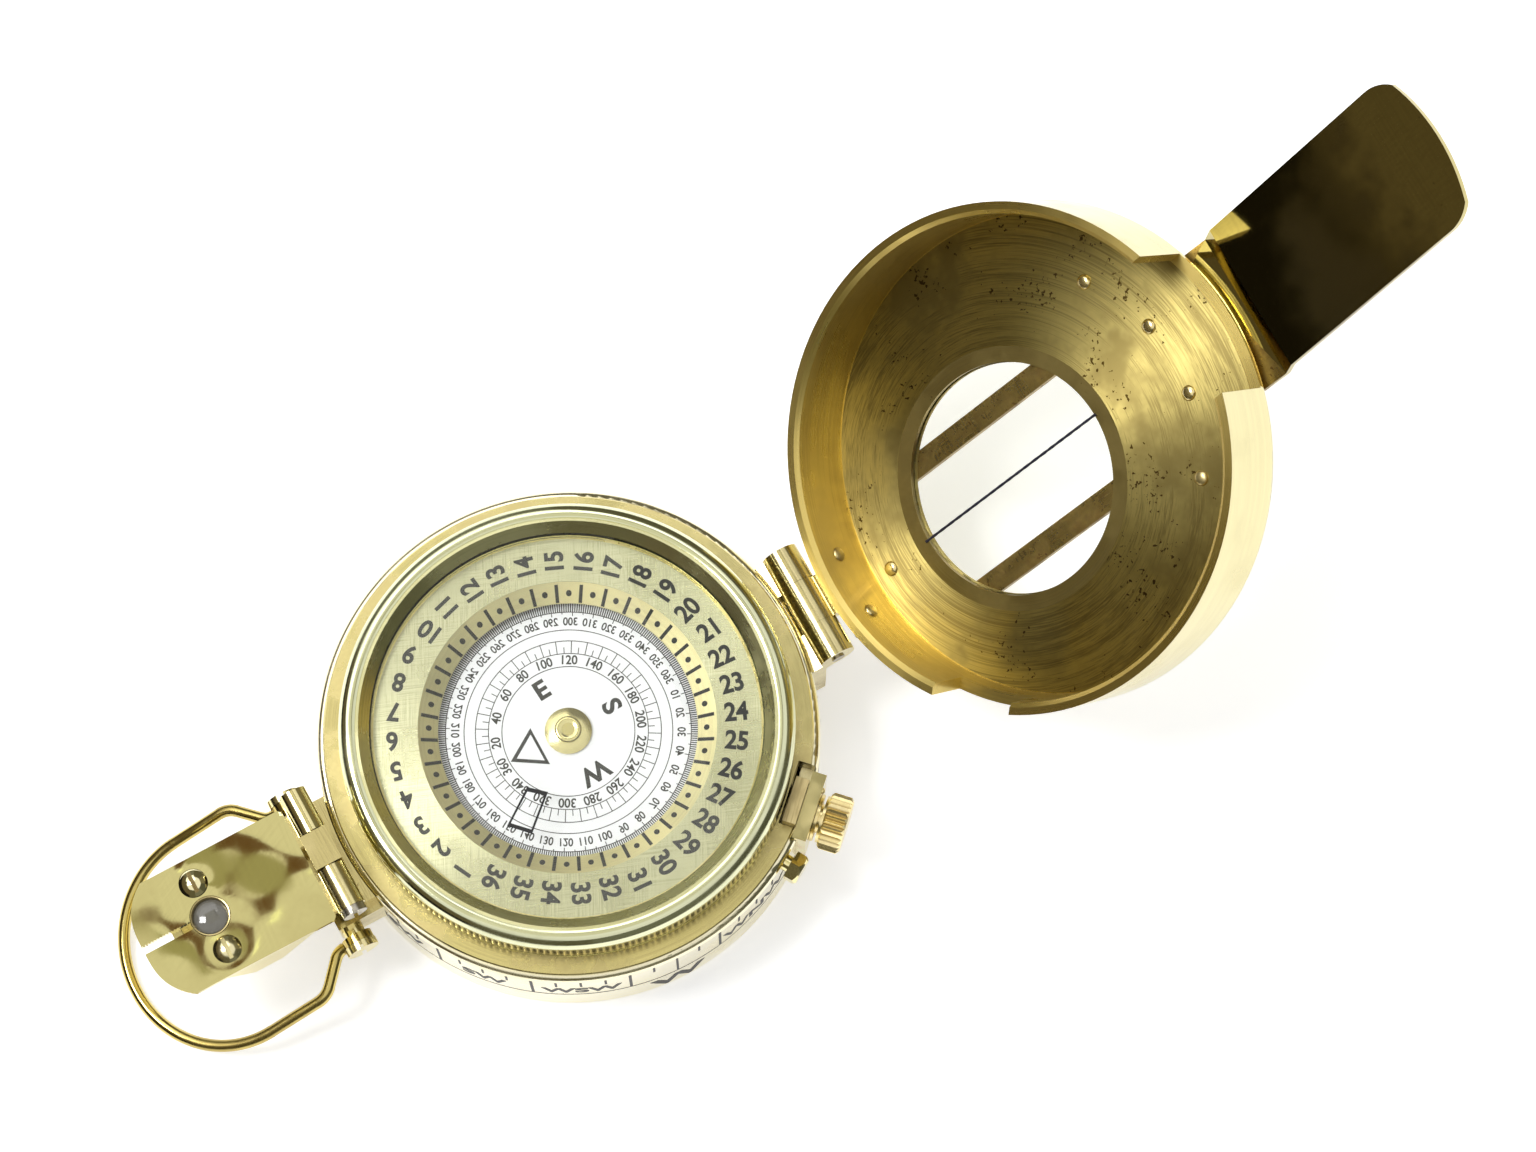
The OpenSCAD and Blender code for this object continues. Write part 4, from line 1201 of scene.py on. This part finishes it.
@dataclass
class Lid(Assembly):
    """The open lid with its window, hair line, rivets and bent tongue. Places are those of the closed lid."""

    body: ClassVar[Body] = Body.LID
    bore: float = 28.5
    tongue_x: float = -29.0
    floor_rivets: tuple[Pair, ...] = ((-16.0, 13.6), (-16.0, -13.6), (-20.2, 4.6), (-20.2, -4.6), (26.0, 0.0))
    wall_rivets: tuple[Pair, ...] = ((4.0, 20.0), (-4.0, 20.0))
    rivet_head: Pair = (0.92, 0.42)
    ceiling_z: float = 25.35
    hair_r: float = 0.17
    hair_z: float = 25.16
    hair_reach: float = 14.2
    hair_sides: int = 10
    hair_steps: int = 90
    hair_twist: float = 0.7
    hair_lobes: float = 0.1

    def build(self) -> None:
        """Dresses the lid's nodes, sets its rivets and stretches its hair."""
        self.dress(lid_hinge=HINGE_BRASS, lid_glass=LID_PANE, lid_glass_ring=WINDOW_BRASS, hairline=HAIR)
        self.paint("lid_shell", (LID_OUTSIDE_BRASS, LID_WALL_BRASS), self.pick_wall)
        self.paint("lid_plate", (LID_OUTSIDE_BRASS, LID_FLOOR_BRASS), self.pick_plate)
        self.paint("tongue_plate", (TONGUE_BRASS, LID_OUTSIDE_BRASS, SHADED_ARM_BRASS), self.pick_tongue)
        self.set_rivets()
        self.stretch_hair()

    def pick_wall(self, middle: Vector, normal: Vector) -> int:
        """Inside finish where the face looks inwards, and on the rim."""
        place, turned = to_closed(middle).xy, (LID_SWING.inverted() @ normal).xy
        return 1 if turned.dot(place) < FACING * place.length else 0

    def pick_plate(self, middle: Vector, normal: Vector) -> int:
        """Inside finish where the face isn't on top of the closed lid."""
        return 0 if (LID_SWING.inverted() @ normal).z > FACING else 1

    def pick_tongue(self, middle: Vector, normal: Vector) -> int:
        """Mirror polish beyond the lid's edge, and on the lid a top face unlike the sides and undersides,
        whose darker brass paints their shade.
        """
        on_lid = 1 + self.pick_plate(middle, normal)
        return on_lid if to_closed(middle).x >= self.tongue_x * MM else 0

    def stretch_hair(self) -> None:
        """Stretches the twisted hair across the window, as thick as it looks, for the model's thin rod."""
        n, steps = self.hair_sides, self.hair_steps
        points = []
        for k in range(steps + 1):
            x = WINDOW_X + self.hair_reach * (2.0 * k / steps - 1.0)
            for i in range(n):
                a = math.tau * i / n
                r = self.hair_r * (1.0 + self.hair_lobes * math.cos(2.0 * (a + self.hair_twist * k)))
                points.append(from_closed(Vector((x, r * math.cos(a), self.hair_z + r * math.sin(a))) * MM))
        faces = net(steps + 1, n) + [tuple(reversed(range(n))), tuple(range(steps * n, (steps + 1) * n))]
        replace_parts(self.piece("twisted_hair", points, faces, HAIR, slot=Slot.INK), "hairline")

    def set_rivets(self) -> None:
        """Sets the rivet heads on the floor and on the wall near the hinge."""
        head = Dome(*self.rivet_head)
        for i, (x, y) in enumerate(self.floor_rivets):
            at = from_closed(Vector((x, y, self.ceiling_z)) * MM)
            self.piece(f"lid_rivet_{i + 1}", *head.mesh(at, LID_SWING @ -UP), RIVET_BRASS)
        for i, (y, z) in enumerate(self.wall_rivets):
            x = math.sqrt(self.bore ** 2 - y ** 2)
            at = from_closed(Vector((x, y, z)) * MM - Vector((PLY, 0.0, 0.0)))
            self.piece(f"wall_rivet_{i + 1}", *head.mesh(at, LID_SWING @ Vector((-x, -y, 0.0))), RIVET_BRASS)


@dataclass
class Prism(Assembly):
    """The folding prism: carriage, box, hood plate, lens and screws.

    A swell of the beaten plate is its height, its waves per mm along X and Y in radians, and its phase. The
    dish round a screw is its depth and its spread. The lens ring's section is in radii and heights over the
    plate.
    """

    body: ClassVar[Body] = Body.PRISM
    near_x: float = -34.4
    far_x: float = -56.0
    half: float = 7.4
    corner: float = 0.4
    plate: Pair = (17.9, 18.7)
    end_depth: float = 3.2
    end_power: float = 3.2
    end_rows: int = 16
    lens_x: float = -47.3
    hole_r: float = 2.36
    hole_turns: int = 40
    slit: float = 0.45
    tooth: float = 0.13
    teeth: int = 17
    screws: tuple[Pair, ...] = ((-47.3, 4.45), (-47.3, -4.45))
    swells: tuple[tuple[float, ...], ...] = ((0.075, 0.33, 0.24, 0.0), (0.05, -0.2, 0.46, 1.0))
    dish: Pair = (0.14, 4.5)
    droop: float = 0.06
    cell: float = 0.45
    bevel: float = 0.1
    bevel_from: float = math.radians(50)
    ring: tuple[Pair, ...] = ((2.06, -0.7), (2.4, -0.7), (2.42, 0.02), (2.34, 0.1), (2.2, 0.08),
                              (2.06, -0.22))
    ring_sides: int = 56

    def build(self) -> None:
        """Dresses the prism and its carriage, beats the hood plate, and rings the lens with old brass."""
        self.dress(prism_bracket=HINGE_BRASS, prism_slide=HINGE_BRASS, prism_pin=STEEL, prism_box=PLAIN_BRASS,
                   prism_glass=PRISM_CROWN, hood_plate=HOOD_BRASS, hood_screws=SCREW_BRASS,
                   prism_lens=SHADED_LENS_GLASS)
        self.beat_hood()
        ring = [(r, self.plate[1] + z) for r, z in self.ring]
        middle = Vector((self.lens_x * MM, 0.0, 0.0))
        self.piece("lens_ring", *revolve(ring, self.ring_sides, middle), RING_BRASS)

    def bow(self, y: float) -> Pair:
        """A point of the plate's bowed end."""
        return (self.far_x + self.end_depth * (abs(y) / self.half) ** self.end_power, y)

    def plan(self) -> Sheet:
        """The plate's outline: a bowed end, and the sighting slit with its toothed side, open into the hole.

        Returns:
            The outline as one face.
        """
        near, half, cut = self.near_x, self.half, self.corner
        ys = [self.slit + (half - self.slit) * i / self.end_rows for i in range(self.end_rows + 1)]
        points = [self.bow(-y) for y in ys]
        points += [(near - cut, -half), (near, cut - half), (near, half - cut), (near - cut, half)]
        points += [self.bow(y) for y in reversed(ys)]
        mouth = math.acos(-math.sqrt(1 - (self.slit / self.hole_r) ** 2))
        start, stop = self.far_x, self.lens_x + self.hole_r * math.cos(mouth)
        for i in range(1, 2 * self.teeth):
            points.append((start + (stop - start) * i / (2 * self.teeth), self.slit + self.tooth * (i % 2)))
        for i in range(self.hole_turns + 1):
            a = mouth * (1.0 - 2.0 * i / self.hole_turns)
            points.append((self.lens_x + self.hole_r * math.cos(a), self.hole_r * math.sin(a)))
        return Sheet(points, [tuple(range(len(points)))])

    def rise(self, x: float, y: float) -> float:
        """How far the beaten plate stands above its flat, in mm.

        Args:
            x: place along the plate, in mm.
            y: place across it, in mm.

        Returns:
            The height, with the dishes round the screws and the droop of the sides.
        """
        swell = sum(h * math.sin(kx * x + ky * y + phase) for h, kx, ky, phase in self.swells)
        depth, spread = self.dish
        for cx, cy in self.screws:
            swell -= depth * math.exp(-((x - cx) ** 2 + (y - cy) ** 2) / spread)
        return swell - self.droop * (abs(y) / self.half) ** 4

    def beat_hood(self) -> None:
        """Makes the plate, with the unevenness and the dishes round its screws that polishing left in it."""
        grid = self.plan().sliced(self.cell, across=True)
        low, high = self.plate
        count = len(grid.points)
        points = [Vector((x, y, high + self.rise(x, y))) * MM for x, y in grid.points]
        points += [Vector((x, y, low)) * MM for x, y in grid.points]
        faces = list(grid.faces) + [tuple(count + i for i in reversed(f)) for f in grid.faces]
        used = {(f[i], f[(i + 1) % len(f)]) for f in grid.faces for i in range(len(f))}
        faces += [(b, a, count + a, count + b) for a, b in used if (b, a) not in used]
        made = self.piece("beaten_hood", points, faces, HOOD_BRASS)
        bevel = made.modifiers.new("worn_edges", "BEVEL")
        bevel.width = self.bevel * MM
        bevel.segments = 2
        bevel.limit_method = "ANGLE"
        bevel.angle_limit = self.bevel_from
        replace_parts(made, "hood_plate")


@dataclass
class Bail(Assembly):
    """The carrying bail on its two screws."""

    def build(self) -> None:
        """Dresses bail and screws."""
        self.dress(bail=BAIL_BRASS, bail_screws=PLAIN_BRASS)


# ---------------------------------------------------------------- studio

@dataclass
class Studio:
    """Floor, light, the dark flags that polished brass mirrors, and the camera. Its lengths are in metres.

    A lamp is its name, place, size and power. A screen is its name, lowest and highest Z, and tone. A beam is
    its name, height, corners in plan, and tone.
    """

    floor_size: float = 6.0
    floor_colour: Triple = (0.93, 0.93, 0.93)
    floor_clouds: float = 40.0
    floor_tones: Pair = (0.985, 1.0)
    lift: float = 0.42
    sky: float = 0.62
    lamps: tuple[tuple[str, Triple, float, float], ...] = (
        ("soft_lamp", (-0.10, 0.60, 0.80), 0.9, 3.6), ("small_lamp", (-0.377, 0.208, 0.80), 0.24, 3.4))
    wall_distance: float = 0.9
    wall_height: float = 1.0
    wall_count: int = 8
    wall_tones: tuple[Triple, ...] = (
        (0.12, 0.11, 0.07), (0.18, 0.18, 0.14), (0.10, 0.10, 0.07), (0.20, 0.18, 0.11))
    screen_x: float = -0.2
    screen_y: Pair = (-0.12, 0.4)
    screens: tuple[tuple[str, float, float, Triple], ...] = (
        ("dark_screen", 0.0, 0.075, (0.012, 0.010, 0.007)), ("brown_screen", 0.075, 0.2, (0.13, 0.105, 0.06)))
    beams: tuple[tuple[str, float, tuple[Pair, ...], Triple], ...] = (
        ("ceiling", 0.55, ((-0.17, -0.05), (0.13, -0.05), (0.11, 0.24), (-0.17, 0.24)), (0.84, 0.81, 0.66)),
        ("brown_beam", 0.54, ((-0.072, 0.108), (-0.046, 0.100), (-0.040, 0.124), (-0.060, 0.142)),
         (0.14, 0.07, 0.02)),
        ("green_beam", 0.54, ((-0.092, 0.085), (-0.066, 0.09), (-0.069, 0.14), (-0.095, 0.15)),
         (0.40, 0.38, 0.20)),
        ("skylight", 0.54, ((-0.05, 0.09), (-0.032, 0.088), (-0.030, 0.105), (-0.042, 0.101)),
         (1.3, 1.35, 0.9)),
        ("dim_beam", 0.54, ((0.055, 0.03), (0.11, 0.03), (0.11, 0.2), (0.075, 0.2)), (0.24, 0.23, 0.17)))
    camera_place: Triple = (-0.03518, -0.1091, 0.5107)
    camera_turn: Triple = (14.908, -0.241, -28.751)
    camera_lens: float = 99.97
    sensor: float = 36.0
    near_clip: float = 0.01

    def build(self) -> None:
        """Builds the studio, and shows colours as they are written."""
        bpy.context.scene.view_settings.view_transform = "Standard"
        self.lay_floor()
        self.light_world()
        self.hang_lamps()
        self.stand_flags()
        self.place_camera()

    @staticmethod
    def seen(w: Wiring) -> Socket:
        """One for the rays of the camera, of mirrors and of glass, and nought for the rest.

        Args:
            w: wiring of the material or the world.

        Returns:
            The value's socket.
        """
        path = w.add("LightPath")
        mirrored = w.math("MAXIMUM", path["Is Glossy Ray"], path["Is Transmission Ray"])
        return w.math("MAXIMUM", path["Is Camera Ray"], mirrored)

    def panel(self, name: str, corners: Sequence[Sequence[float]], look: MaterialDraft) -> bpy.types.Object:
        """Makes a flat panel of the stage.

        Args:
            name: its name.
            corners: its corners.
            look: its material.

        Returns:
            The panel.
        """
        mesh = bpy.data.meshes.new(name)
        mesh.from_pydata(corners, [], [tuple(range(len(corners)))])
        mesh.materials.append(look.made)
        made = enter(name, mesh)
        return made

    def lay_floor(self) -> None:
        """Lays the plain pale floor."""
        w = MaterialDraft("pale_floor")
        pale = w.range(w.noise(w.at, self.floor_clouds), 0.3, 0.7, *self.floor_tones)
        w.set(Base_Color=w.mixed(pale, (0.0, 0.0, 0.0), self.floor_colour), Roughness=0.9,
              Specular_IOR_Level=0.1, Emission_Color=(1.0, 1.0, 1.0),
              Emission_Strength=w.math("MULTIPLY", self.seen(w), self.lift))
        half = self.floor_size / 2
        self.panel("floor", [(-half, -half, 0), (half, -half, 0), (half, half, 0), (-half, half, 0)], w)

    def light_world(self) -> None:
        """A soft even sky, which cameras, mirrors and glass see as plain white."""
        world = bpy.data.worlds.new("studio_sky")
        world.use_nodes = True
        bpy.context.scene.world = world
        w = Wiring(world.node_tree)
        strength = w.math("ADD", self.sky, w.math("MULTIPLY", self.seen(w), 1.0 - self.sky))
        w.feed(world.node_tree.nodes["Background"].inputs, {"Color": (1.0, 1.0, 1.0), "Strength": strength})

    def hang_lamps(self) -> None:
        """Hangs the large soft lamp, and a smaller one whose light the turned metal draws out."""
        for name, place, size, power in self.lamps:
            data = bpy.data.lights.new(name, "AREA")
            data.shape = "SQUARE"
            data.size = size
            data.energy = power
            lamp = enter(name, data)
            lamp.location = place
            lamp.rotation_euler = (-Vector(place)).to_track_quat("-Z", "Y").to_euler()

    def stand_flags(self) -> None:
        """Stands the walls, ceiling and screens of the room, which only mirrors and glass see."""
        far, high, count = self.wall_distance, self.wall_height, self.wall_count
        turns = [math.tau / count * (i + 0.5) for i in range(count)]
        corners = [(far * math.cos(a), far * math.sin(a)) for a in turns]
        for i in range(count):
            ends = corners[i], corners[(i + 1) % count]
            self.flag(f"room_wall_{i + 1}", self.upright(*ends, 0.0, high),
                      self.wall_tones[i % len(self.wall_tones)])
        ends = [(self.screen_x, y) for y in self.screen_y]
        for name, low, high, tone in self.screens:
            self.flag(name, self.upright(*ends, low, high), tone)
        for name, z, plan, tone in self.beams:
            self.flag(name, [(x, y, z) for x, y in plan], tone)

    @staticmethod
    def upright(start: Pair, end: Pair, low: float, high: float) -> list[Triple]:
        """The corners of a wall between two places in plan and two heights."""
        return [(*start, low), (*end, low), (*end, high), (*start, high)]

    def flag(self, name: str, corners: Sequence[Triple], colour: Triple) -> None:
        """Hangs one flat screen of an even tone.

        Args:
            name: its name.
            corners: its corners.
            colour: the tone that mirrors show.
        """
        w = MaterialDraft(name)
        w.made.cycles.emission_sampling = "NONE"
        w.set(Base_Color=(0.0, 0.0, 0.0), Specular_IOR_Level=0.0, Emission_Color=colour,
              Emission_Strength=1.0)
        screen = self.panel(name, corners, w)
        screen.visible_camera = screen.visible_diffuse = screen.visible_shadow = False

    def place_camera(self) -> None:
        """Places the camera at the photograph's viewing angle."""
        data = bpy.data.cameras.new("camera")
        data.lens = self.camera_lens
        data.sensor_width = self.sensor
        data.clip_start = self.near_clip
        camera = enter("camera", data)
        camera.location = self.camera_place
        camera.rotation_euler = Euler([math.radians(a) for a in self.camera_turn], "XYZ")
        bpy.context.scene.camera = camera


def main() -> None:
    """Builds every sub-assembly, then the studio round it."""
    logging.basicConfig(level=logging.INFO, format="%(name)s: %(message)s")
    effects = Effects()
    bold, plain = Lettering(0.032), Lettering(0.02)
    for part in (Case(effects, bold), Dial(effects, bold), Card(effects, bold, plain), Bezel(effects),
                 Lid(effects), Prism(effects), Bail(effects), Studio()):
        part.build()
        LOG.info("built the %s", type(part).__name__.lower())


if __name__ == "__main__":
    main()
